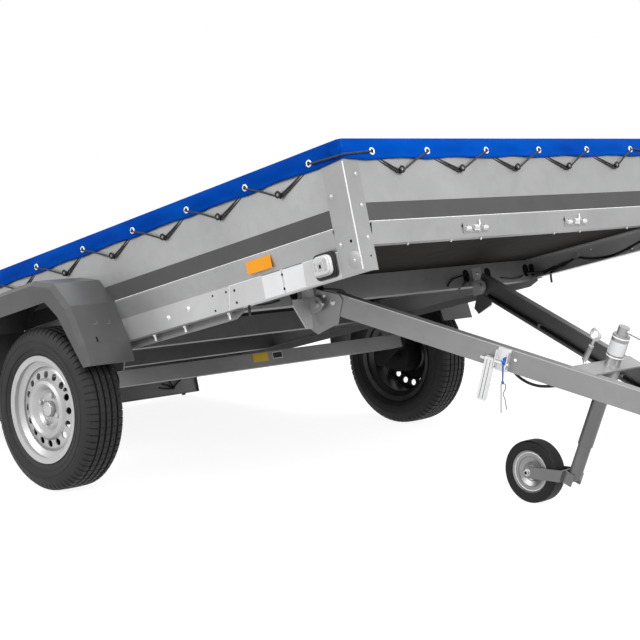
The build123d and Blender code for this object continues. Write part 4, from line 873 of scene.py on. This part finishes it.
POST_BOLTS = ((1.330, 0.392), (1.330, 0.253), (1.372, 0.200))  # (u, w) on the side flange
REAR_BOLTS = [(u, w) for u in (REAR_U + 0.07, REAR_U + 0.10) for w in (0.30, 0.42)]
POST_FRONT_W = (0.440, 0.350, 0.258)
POST_FRONT_V = 0.733
RAIL_BOLTS = ((0.629, 0.206), (0.525, 0.197))
RAIL_BOLT = (0.0072, 0.0050)  # radius, height
FOOT_BOLT = (0.0035, 0.006)
FRONT_HOLES_V = (0.735, 0.705)
FRONT_HOLES_W = 0.205
FRONT_HOLE_R = 0.0028
SIDE_HOLES = (  # radius, how far out, (u, w) of each
    (0.0045, HALF_WIDTH, ((1.371, 0.255),)),
    (0.0042, HALF_WIDTH, ((0.857, 0.219), (0.858, 0.181), (1.074, 0.222), (1.073, 0.180))),
    (0.0038, PANEL_Y, ((0.752, 0.223), (0.753, 0.176), (0.816, 0.222), (0.820, 0.177))),
)
STUDS_U = (0.423, 0.578, 0.795)
STUD_Y = 0.756
STUD_STEPS = ((0.0105, 0.0018, 24), (0.0082, 0.0085, 6), (0.0042, 0.0240, 12))  # washer, nut, thread
FOOT_U = PANEL_FRONT_U - 0.010
FOOT_V = (-0.366, -0.226, 0.146, 0.287, -0.560, 0.560)
FOOT_W = 0.2355
HOOK_FACE_Y = 0.785  # outer faces of the cover hooks' heads
HOOK_FACE_U = 1.410
HOOK_WASHER = (0.0085, 0.0030)  # radius, thickness
HOOK_SCREW = (0.0045, 0.001)


def add_box_fixings():
    bolts = Part("box_bolts")
    sill_bolts = Part("sill_bolts")
    holes = Part("box_holes")
    for side in (-1, 1):
        for u, w in POST_BOLTS:
            bolt(bolts, on_side(u, w, side, HALF_WIDTH))
        for w in POST_FRONT_W:
            bolt(bolts, on_front(side * POST_FRONT_V, w, FRONT_U))
        for u, w in REAR_BOLTS:
            bolt(bolts, on_side(u, w, side, HALF_WIDTH))
        for u, w in RAIL_BOLTS:
            bolt(sill_bolts, on_side(u, w, side, PANEL_Y), *RAIL_BOLT)
        for u in STUDS_U:
            for radius, height, sides in STUD_STEPS:
                sill_bolts.disc(under(u, side * STUD_Y, FRAME_BOTTOM), radius, height, sides=sides)
        for v in FRONT_HOLES_V:
            holes.disc(on_front(side * v, FRONT_HOLES_W, FRONT_U), FRONT_HOLE_R, SKIN)
        for radius, depth, places in SIDE_HOLES:
            for u, w in places:
                holes.disc(on_side(u, w, side, depth), radius, SKIN)
    for v in FOOT_V:
        bolt(bolts, under(FOOT_U, v, FOOT_W), *FOOT_BOLT)
    bolts.finish("galvanised_plate")
    sill_bolts.finish("zinc_bright")
    # the holes: dark discs of painted shade
    holes.finish("painted_hole_shade")
    domes = Part("hook_screws")
    washers = Part("hook_washers")
    places = [on_side(u, HOOK_W, side, HOOK_FACE_Y) for side in (-1, 1) for u in SIDE_HOOK_U]
    for place in places + [on_front(v, HOOK_W, HOOK_FACE_U) for v in FRONT_HOOK_V]:
        washers.ring(place, *HOOK_WASHER)
        domes.disc(place, *HOOK_SCREW, sides=16)
    domes.finish("galvanised_dull")
    washers.finish("black_plastic")


# painted highlights where light catches the sheet's rounded fold, the posts' corners and the side plates'
# top and tail
FOLD_LINE = (FOLD_W - 0.0030, FOLD_W + 0.0042)
FOLD_PROUD = 0.0008  # how far the rounded fold of the sheet stands proud
POST_LINE = ((FRONT_U - 0.0052, FRONT_U - 0.0006), (0.170, 0.478))  # over u and over w
PLATE_TAIL = ((0.817, 0.164), (0.837, 0.2375))  # (u, w) ends of the side plate's slanted tail
PLATE_LINE = 0.0016
DIMPLE = (1.372, 0.200, 0.026, 0.0022)  # u, w, radius, height


def add_painted_edge_highlights():
    """Painted highlights: near-white strips along the sheet's folds, the post corners and the side plates.
    """
    lines = Part("painted_edge_highlights")
    (tail_u, tail_w), (top_u, top_w) = PLATE_TAIL
    slope = [(tail_u, tail_w), (tail_u + PLATE_LINE, tail_w), (top_u + PLATE_LINE, top_w), (top_u, top_w)]
    for side in (-1, 1):
        side_patch(lines, side, SIDE_RUN, FOLD_LINE, FOLD_PROUD)
        side_patch(lines, side, *POST_LINE, SKIN, HALF_WIDTH)
        side_patch(lines, side, (top_u, SIDE_RUN[1]), (top_w - PLATE_LINE, top_w), SKIN, HALF_WIDTH)
        lines.prism(on_side(0, 0, side, HALF_WIDTH), [(-side * u, w) for u, w in slope], SKIN)
    front_patch(lines, FRONT_RUN, FOLD_LINE, FOLD_PROUD)
    lines.finish("painted_highlight")
    dimples = Part("post_dimples")
    u, w, radius, height = DIMPLE
    for side in (-1, 1):
        dome(dimples, on_side(u, w, side, HALF_WIDTH), DIMPLE_LINE, radius, height, steps=32)
    dimples.finish("galvanised_post", sharp=80.0)


CATCH_V = (-0.257, 0.257)
CATCH_W = 0.268
CATCH_FACE_U = 1.4005
CATCH_PLATE = 0.004
KNUCKLES = ((-0.040, 0.0), (0.0, 0.004), (0.040, 0.0))  # (across, up) from the catch
KNUCKLE_TAB = ((-0.010, -0.012, 0.0), (0.010, 0.004, CATCH_PLATE))
KNUCKLE_DROP = 0.004
KNUCKLE_R = 0.0065
KNUCKLE_LENGTH = 0.022
# across, up, out and radius
CATCH_HOLES = ((-0.017, 0.005, 0.0, 0.0052), (-0.004, 0.002, CATCH_PLATE, 0.0032))
CATCH_WIRE = ((0.010, -0.014, 0.004), (0.010, 0.006, 0.010), (0.016, 0.020, 0.008))
CATCH_WIRE_R = 0.0022


def add_catches():
    """Three bright knuckles on each catch plate, dark holes between them, and its wire hook."""
    knuckles = Part("catch_knuckles")
    darks = Part("catch_holes")
    wires = []
    for v in CATCH_V:
        for across, lift in KNUCKLES:
            at = v + across
            barrel = facing(CHASSIS, (CATCH_FACE_U + CATCH_PLATE, at - KNUCKLE_LENGTH / 2,
                                      CATCH_W - KNUCKLE_DROP + lift), (0, 1, 0), (1, 0, 0))
            knuckles.disc(barrel, KNUCKLE_R, KNUCKLE_LENGTH, sides=18)
            knuckles.box(on_front(at, CATCH_W, CATCH_FACE_U), *KNUCKLE_TAB)
            for aside, up, out, radius in CATCH_HOLES:
                darks.disc(on_front(at + aside, CATCH_W + up, CATCH_FACE_U + out), radius, SKIN * 2)
        wires.append(on_chassis((CATCH_FACE_U + out, v + across, CATCH_W + up)
                                for across, up, out in CATCH_WIRE))
    knuckles.finish("zinc_bright", bevel=0.0008)
    # the holes between the knuckles: dark discs of painted shade
    darks.finish("painted_hole_shade")
    add_curves("catch_wires", wires, CATCH_WIRE_R, "zinc_bright")


# ---- lamps
LAMP_U = 1.2595
LAMP_W = 0.208
LAMP_STEPS = (  # of the base: width, height, corner radius, how far out, thickness
    (0.087, 0.076, 0.014, 0.0, 0.006),
    (0.083, 0.072, 0.013, 0.006, 0.004),
)
LAMP_BASE_T = 0.010
LENS_DEPTH = 0.0155
LENS_STEPS = (  # the same for the lens, from the base's face
    (0.070, 0.060, 0.018, 0.0, LENS_DEPTH * 0.7),
    (0.062, 0.052, 0.015, LENS_DEPTH * 0.7, LENS_DEPTH * 0.3),
)
LAMP_CELLS = ((-0.026, -0.018, -0.012, 0.014), (-0.012, 0.008, -0.014, 0.012),
              (-0.006, 0.002, -0.006, 0.005), (0.012, 0.024, -0.018, 0.018))  # (x0, x1, y0, y1)


def add_marker_lamps():
    bases = Part("lamp_bases")
    lenses = Part("lamp_lenses")
    mirrors = Part("lamp_mirrors")
    for side in (-1, 1):
        place = on_side(LAMP_U, LAMP_W, side, HALF_WIDTH)
        on_base = place @ Matrix.Translation((0, 0, LAMP_BASE_T))
        for part, foot, steps in ((bases, place, LAMP_STEPS), (lenses, on_base, LENS_STEPS)):
            for width, height, corner, start, thick in steps:
                part.prism(foot @ Matrix.Translation((0, 0, start)), rounded(width, height, corner), thick)
        for x0, x1, y0, y1 in LAMP_CELLS:
            mirrors.box(on_base, (x0, y0, LENS_DEPTH - SKIN), (x1, y1, LENS_DEPTH + SKIN / 2))
    base = bases.finish("black_plastic", bevel=0.0015)
    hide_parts("marker_lamp_bases")
    lens = lenses.finish("clear_lens", bevel=0.002)
    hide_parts("marker_lamp_lenses")
    mirrors.finish("lamp_mirror")


FENDER_FRONT = (0.3093, 0.1869)  # a point (u, w) of the fender's front panel
FENDER_OUT = Vector((0.950, 0.0, 0.312))
FENDER_SLOT = (-0.903, 0.179, 0.006, 0.019)  # v, w, width, height
FENDER_TICKS = ((-0.887, 0.231, 0.020, 0.004), (-0.878, 0.237, 0.004, 0.013),
                (-0.834, 0.228, 0.017, 0.004), (-0.827, 0.234, 0.004, 0.013))


def add_fender_marks():
    """A drain slot and two moulded corner marks on each fender's front panel."""
    slots = Part("fender_slots")
    ticks = Part("fender_marks")
    u0, w0 = FENDER_FRONT
    for side in (-1, 1):
        for part, marks in ((slots, (FENDER_SLOT,)), (ticks, FENDER_TICKS)):
            for v, w, width, height in marks:
                u = u0 - (w - w0) * FENDER_OUT.z / FENDER_OUT.x
                place = facing(CHASSIS, (u, -side * v, w), FENDER_OUT, (0, 1, 0))
                part.box(place, (-width / 2, -height / 2, 0.0), (width / 2, height / 2, SKIN * 2))
    # the drain slot: a dark patch of painted shade
    slots.finish("painted_hole_shade")
    ticks.finish("fender_mark_grey")


BOARD_U = -1.227  # front face of the lamp board
BOARD_FOOT_W = 0.053
BOARD_KNOT = (BOARD_U + 0.010, 0.616, 0.086)
BOARD_KNOT_R = 0.009
WIRE_OUT = 0.004
KNOB_U = BOARD_U + 0.005
KNOB_V = 0.674
KNOB = (0.010, 0.007, 0.008)  # radius at the board, height, radius at the end
BOARD_WIRES = (  # (v, w) of each wire's end and middle, on its way to the knot
    ((0.602, 0.137), (0.606, 0.110)), ((0.699, 0.134), (0.655, 0.108)),
    ((0.541, 0.096), (0.575, 0.082)), ((0.560, 0.110), (0.590, 0.104)),
)
BOARD_WIRE_R = 0.0032


def add_board_parts():
    """Wires gathered on the lamp board's front face, and a knob under each end of it."""
    wires = []
    knobs = Part("lamp_board_knobs")
    for side in (-1, 1):
        knot = (BOARD_KNOT[0], side * BOARD_KNOT[1], BOARD_KNOT[2])
        for ends in BOARD_WIRES:
            wires.append(on_chassis([(BOARD_U + WIRE_OUT, side * v, w) for v, w in ends] + [knot]))
        knobs.ball(CHASSIS @ Matrix.Translation(knot), BOARD_KNOT_R)
        knobs.disc(under(KNOB_U, side * KNOB_V, BOARD_FOOT_W), *KNOB)
    knobs.finish("black_plastic")
    add_curves("lamp_board_wires", wires, BOARD_WIRE_R, "black_plastic", smooth=True)


# ---- wheels
BOLT_CIRCLE = 0.050
BOLT_PHASE = radians(70)
BOLT_FACE_Y = 0.033
# washer, nut and thread: radius, height, radius at the top, sides
BOLT_STEPS = ((0.0125, 0.003, 0.0115, 24), (0.0098, 0.013, None, 6), (0.0070, 0.0145, None, 18))
CAP_LINE = ((0.0258, 0.0), (0.0258, 0.0125), (0.0235, 0.0160), (0.0150, 0.0185), (0.0, 0.0190))
STEM_ANGLE = radians(39)
STEM = ((0.0, 0.110, 0.034), (-0.01, 0.114, 0.047), (-0.06, 0.138, 0.052))  # turn, radius, out
STEM_R = 0.0040


def add_wheel_parts(name, side):
    wheel = name + "_wheel"
    centre = Vector((WHEEL_AT.x, side * WHEEL_Y, WHEEL_AT.z))

    def at(angle, radius, out):
        return centre + Vector((radius * cos(angle), side * out, radius * sin(angle)))

    nuts = Part(wheel + "_bolts")
    for k in range(4):
        place = sideways(at(BOLT_PHASE + k * pi / 2, BOLT_CIRCLE, BOLT_FACE_Y), side)
        for radius, height, top, sides in BOLT_STEPS:
            nuts.disc(place, radius, height, top, sides)
    nuts.lathe(sideways(at(0.0, 0.0, BOLT_FACE_Y), side), CAP_LINE, steps=36)
    nuts.finish("zinc", wheel, bevel=0.0007)
    stem = [at(STEM_ANGLE + turn, radius, out) for turn, radius, out in STEM]
    add_curves(wheel + "_valve", [stem], STEM_R, "black_plastic", wheel, smooth=True)


JOCKEY_FORK_Y = 0.0395  # outer faces of the fork's arms
JOCKEY_NUT_HEIGHT = 0.0090
JOCKEY_NUT_STEPS = ((0.0125, 0.0015, 24), (0.0095, JOCKEY_NUT_HEIGHT, 6))
JOCKEY_BOLT_R = 0.0052
# rings on the rim's dish: the near-white ones are painted highlight, the darker ones painted shade in its
# grooves
JOCKEY_BRIGHT_RINGS = ((0.0610, 0.0215, 0.0016), (0.0225, 0.0150, 0.0020))  # radius, out, thickness
JOCKEY_DARK_RINGS = ((0.0480, 0.0206, 0.0014), (0.0300, 0.0140, 0.0016))


def add_jockey_wheel_parts():
    nuts = Part("jockey_wheel_nuts")
    ends = Part("jockey_axle_ends")
    bright = Part("jockey_rim_highlights")
    dark = Part("jockey_rim_groove_shade")
    for side in (-1, 1):
        place = sideways(JOCKEY_WHEEL_AT, side, JOCKEY_FORK_Y)
        for radius, height, sides in JOCKEY_NUT_STEPS:
            nuts.disc(place, radius, height, sides=sides)
        ends.disc(place, JOCKEY_BOLT_R, JOCKEY_NUT_HEIGHT + SKIN, sides=20)
        for part, rings in ((bright, JOCKEY_BRIGHT_RINGS), (dark, JOCKEY_DARK_RINGS)):
            for radius, out, thick in rings:
                part.ring(sideways(JOCKEY_WHEEL_AT, side, out), radius, thick, steps=40)
    nuts.finish("zinc", "jockey_fork", bevel=0.0006)
    # the hollow ends of the axle bolt, painted shade
    ends.finish("painted_hole_shade", "jockey_fork")
    bright.finish("painted_highlight", "jockey_wheel", sharp=80.0)
    dark.finish("tube_steel", "jockey_wheel", sharp=80.0)


# ---- underneath
CROSS_FACE_U = 0.815
OVALS_V = (0.369, 0.491, 0.717, 0.755)
OVAL_W = 0.199
OVAL = rounded(0.034, 0.046, 0.016)
CROSS_WIRES = (  # (how far ahead of the cross member's face, v, w)
    ((0.003, 0.369, 0.198), (0.014, 0.350, 0.183), (0.008, 0.340, 0.168), (-0.020, 0.338, 0.157)),
    ((0.003, 0.362, 0.203), (0.010, 0.290, 0.196), (0.008, 0.262, 0.182), (0.003, 0.255, 0.168)),
    ((0.003, 0.687, 0.180), (0.010, 0.660, 0.170), (0.010, 0.600, 0.172), (0.004, 0.560, 0.180)),
)
CROSS_WIRE_R = 0.0028
RAIL_INNER_Y = 0.7695  # inner face of the side rails
RAIL_CABLE_R = 0.0040
RAIL_CABLE = (  # (u, off the rail, w)
    (0.818, 0.052, 0.188), (0.850, 0.010, 0.180), (0.900, 0.006, 0.183), (0.981, 0.006, 0.191),
    (1.017, 0.006, 0.204), (1.070, 0.006, 0.183), (1.178, 0.006, 0.171), (1.291, 0.006, 0.196),
    (1.375, 0.006, 0.215),
)
RAIL_CABLE_KNOT = (  # the slack of it, tied up in a bundle
    (0.862, 0.008, 0.176), (0.905, 0.012, 0.192), (0.960, 0.010, 0.180), (0.975, 0.010, 0.198),
    (0.915, 0.014, 0.182), (0.890, 0.010, 0.170), (0.890, 0.010, 0.134),
)
RAIL_CLIP = (1.017, 0.206)
RAIL_CLIP_SIZE = ((-0.012, -0.008, 0.0), (0.012, 0.010, 0.012))
RAIL_BOLTS_INSIDE = ((1.081, 0.219), (1.082, 0.186), (1.250, 0.180))
EAR_V = 0.430
EAR_T = 0.002
EAR = ((0.026, 0.226), (0.026, 0.168), (0.012, 0.154), (0.0, 0.146), (-0.012, 0.154),
       (-0.026, 0.168), (-0.026, 0.226))
EAR_BOLTS = ((0.205, 0.006), (0.166, 0.005))  # w, radius
EAR_BOLT_HEIGHT = 0.004
AXLE_FACE_U = 0.1365
AXLE_NOTES = (  # name, material, over v, over w, height
    ("axle_label", "yellow_label", (-0.094, -0.019), (0.048, 0.080), SKIN),
    ("axle_sticker", "white_label", (0.003, 0.054), (0.052, 0.078), SKIN),
    ("axle_sticker_field", "black_plastic", (0.006, 0.051), (0.055, 0.075), 2 * SKIN),
)


def add_underside():
    ovals = Part("cross_member_holes")
    clips = Part("rail_cable_clips")
    ears = Part("pivot_faces")
    wires, cables = [], []
    for side in (-1, 1):
        for v in OVALS_V:
            ovals.prism(on_front(side * v, OVAL_W, CROSS_FACE_U), OVAL, SKIN)
        for line in CROSS_WIRES:
            wires.append(on_chassis((CROSS_FACE_U + ahead, side * v, w) for ahead, v, w in line))
        for line in (RAIL_CABLE, RAIL_CABLE_KNOT):
            cables.append(on_chassis((u, side * (RAIL_INNER_Y - off), w) for u, off, w in line))

        def inside(u, w, side=side):
            return facing(CHASSIS, (u, side * RAIL_INNER_Y, w), (0, -side, 0), (side, 0, 0))

        clips.box(inside(*RAIL_CLIP), *RAIL_CLIP_SIZE)
        for u, w in RAIL_BOLTS_INSIDE:
            bolt(clips, inside(u, w))
        ears.prism(on_front(side * EAR_V, 0, CROSS_FACE_U), EAR, EAR_T)
        for w, radius in EAR_BOLTS:
            bolt(ears, on_front(side * EAR_V, w, CROSS_FACE_U + EAR_T), radius, EAR_BOLT_HEIGHT)
    # the oval holes: dark patches of painted shade
    ovals.finish("painted_hole_shade")
    add_curves("cross_member_wires", wires, CROSS_WIRE_R, "black_plastic", smooth=True)
    clips.finish("zinc", bevel=0.001)
    add_curves("rail_cables", cables, RAIL_CABLE_R, "black_plastic", smooth=True)
    ears.finish("galvanised_plate")
    for name, material, run, height, thick in AXLE_NOTES:
        note = Part(name)
        front_patch(note, run, height, thick, AXLE_FACE_U)
        note.finish(material)


# ---- drawbar
BEAM_REAR = (0.036, 0.397)
BEAM_TOP = 0.050
BEAM_LENGTH = 1.216
# a painted highlight: a lighter strip along each beam's top edge, where light catches its top flange
BEAM_EDGE = (BEAM_TOP - 0.0034, BEAM_TOP - 0.0008)
BEAM_EDGE_RUN = (0.050, BEAM_LENGTH - 0.13)
PENTAGON_BOLTS = ((-0.037, 0.030), (-0.036, 0.001), (0.0, 0.018))  # (along, z)
PENTAGON_BOLT = (0.007, 0.006)  # radius, height
PENTAGON_T = 0.005  # thickness of the pentagonal pivot plate
HARNESS_CLIPS_ALONG = (0.34, 0.80)
CLIP_Z = -0.006
CLIP_OUT = -0.003
HARNESS_CLIP = ((-0.005, -0.012, -0.014), (0.005, 0.0, -0.0002))


def on_beam(along, out, z, side):
    """A point beside a drawbar beam: along it from its rear end, off its web, and up."""
    c, s = cos(BAR_HALF_ANGLE), sin(BAR_HALF_ANGLE)
    return DRAWBAR @ Vector((BEAM_REAR[0] + along * c + out * s,
                             side * (BEAM_REAR[1] - along * s + out * c), z))


def beam_face(along, z, side, out=0.0):
    """A place on the web's outer face, its z off the web and its x along the beam."""
    origin = on_beam(along, out, z, side)
    x = (on_beam(along + 1, out, z, side) - origin).normalized()
    off = (on_beam(along, out + 1, z, side) - origin).normalized()
    if side > 0:
        x = -x
    return axes(x, off.cross(x), off, origin)


def add_drawbar_parts():
    bolts = Part("pivot_plate_bolts")
    edges = Part("painted_beam_highlight")
    straps = Part("harness_clips")
    for side in (-1, 1):
        for along, z in PENTAGON_BOLTS:
            bolt(bolts, beam_face(along, z, side, PENTAGON_T), *PENTAGON_BOLT)
        low, high = sorted(-side * along for along in BEAM_EDGE_RUN)
        edges.box(beam_face(0, 0, side), (low, BEAM_EDGE[0], 0.0), (high, BEAM_EDGE[1], SKIN))
        for along in HARNESS_CLIPS_ALONG:
            straps.box(beam_face(along, CLIP_Z, side, CLIP_OUT), *HARNESS_CLIP)
    bolts.finish("zinc", "drawbar", bevel=0.0005)
    # the painted highlight along the beams' tops
    edges.finish("galvanised_plate", "drawbar")
    straps.finish("zinc", "drawbar", bevel=0.0006)


# string with its spring clip, along the CAD model's route
STRING_START = (0.609, 0.014, 0.016)  # along the right beam, off its web, up
STRING_ROUTE = (  # (ahead, away from the middle, up) from the start
    (0.0, 0.0, 0.0),
    (-0.005515, 0.0018, 0.001535),
    (-0.0085, 0.0095, -0.0030),
    (-0.0090, 0.0120, -0.0160),
    (-0.0090, 0.0123, -0.0420),
    (-0.0088, 0.0120, -0.0680),
)
STRING_DIAMETER = 0.0032
STRING_KNOTS = (  # which point of the route, how far off it, radius
    (0, (-0.004, -0.005, 0.003), 0.0080),
    (2, (0.003, -0.002, -0.002), 0.0065),
    (-1, (0.0, 0.0, 0.003), 0.0048),
)
SECOND_STRAND_OFF = Vector((0.0036, -0.0012, 0.0))
SECOND_STRAND_END = Vector((0.0008, 0.0, 0.002))


def add_string():
    start = on_beam(*STRING_START, -1)
    points = [start + Vector((x, -y, z)) for x, y, z in STRING_ROUTE]
    radius = STRING_DIAMETER / 2
    piece = add_curves("blue_string", [points], radius, "blue_string", "drawbar", smooth=True)
    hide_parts("lanyard")
    knots = Part("string_knots")
    for which, off, size in STRING_KNOTS:
        knots.ball(Matrix.Translation(points[which] + Vector(off)), size)
    knots = knots.finish("blue_string", "drawbar", sharp=80.0)
    beside = [point + SECOND_STRAND_OFF for point in points[1:-1]] + [points[-1] + SECOND_STRAND_END]
    second = add_curves("string_second_strand", [beside], radius, "blue_string", "drawbar", smooth=True)
    tuple(points[0])


LEVER_GROOVE = (0.555, 0.0055, -0.120, 0.004)  # middle, half the gap, from, to in height
GROOVE_HALF = 0.0009
LEVER_FACE = 0.024
HANDLE_FROM = (0.738, 0.034)  # (x, z) of the clamp handle's upright
HANDLE_TO = (0.757, 0.112)
SLEEVE = (0.04, 0.70, 0.0088)  # from, to as shares of the upright, and radius


def add_lever_parts():
    grooves = Part("lever_grooves")
    middle, gap, low, high = LEVER_GROOVE
    for shift in (-gap, gap):
        grooves.box(beam_face(middle + shift, 0, -1, LEVER_FACE), (-GROOVE_HALF, low, 0.0),
                    (GROOVE_HALF, high, SKIN))
    grooves.finish("tube_steel", "drawbar")
    foot, head = (DRAWBAR @ Vector((x, 0, z)) for x, z in (HANDLE_FROM, HANDLE_TO))
    start, end, radius = SLEEVE
    place = facing(Matrix.Identity(4), foot.lerp(head, start), (head - foot).normalized(), (0, 1, 0))
    sleeve = Part("clamp_handle_sleeve")
    sleeve.disc(place, radius, (head - foot).length * (end - start), sides=24)
    sleeve.finish("zinc", "drawbar", bevel=0.001)


# ---- jockey wheel's head
HEAD_R = 0.027
LABEL_Z = (0.096, 0.138)
LABEL_TURN = radians(150)  # how far the label goes round the head
LABEL_STEPS = 18
# near-white ridges round the head, coloured as painted highlight
HEAD_RINGS_Z = (0.088, 0.150)
HEAD_RING = ((HEAD_R, -0.002), (HEAD_R + 0.0012, -0.001), (HEAD_R + 0.0012, 0.001), (HEAD_R, 0.002))


def add_jockey_parts():
    label = Part("jockey_label")
    label.lathe(JOCKEY, [(HEAD_R + SKIN, z) for z in LABEL_Z], LABEL_STEPS, -LABEL_TURN, LABEL_TURN)
    label.finish("white_label", "drawbar")
    rings = Part("jockey_head_highlights")
    for z in HEAD_RINGS_Z:
        rings.lathe(JOCKEY @ Matrix.Translation((0, 0, z)), HEAD_RING, steps=40)
    rings.finish("painted_highlight", "drawbar")


add_camera()
add_studio()
make_materials()
dress_cad_nodes()
for wheel in WHEELS:
    add_tyre(*wheel)
add_cover()
add_rope()
add_markings()
add_box_fixings()
add_painted_edge_highlights()
add_catches()
add_marker_lamps()
add_fender_marks()
add_board_parts()
for wheel in WHEELS:
    add_wheel_parts(*wheel)
add_jockey_wheel_parts()
add_underside()
add_drawbar_parts()
add_string()
add_lever_parts()
add_jockey_parts()
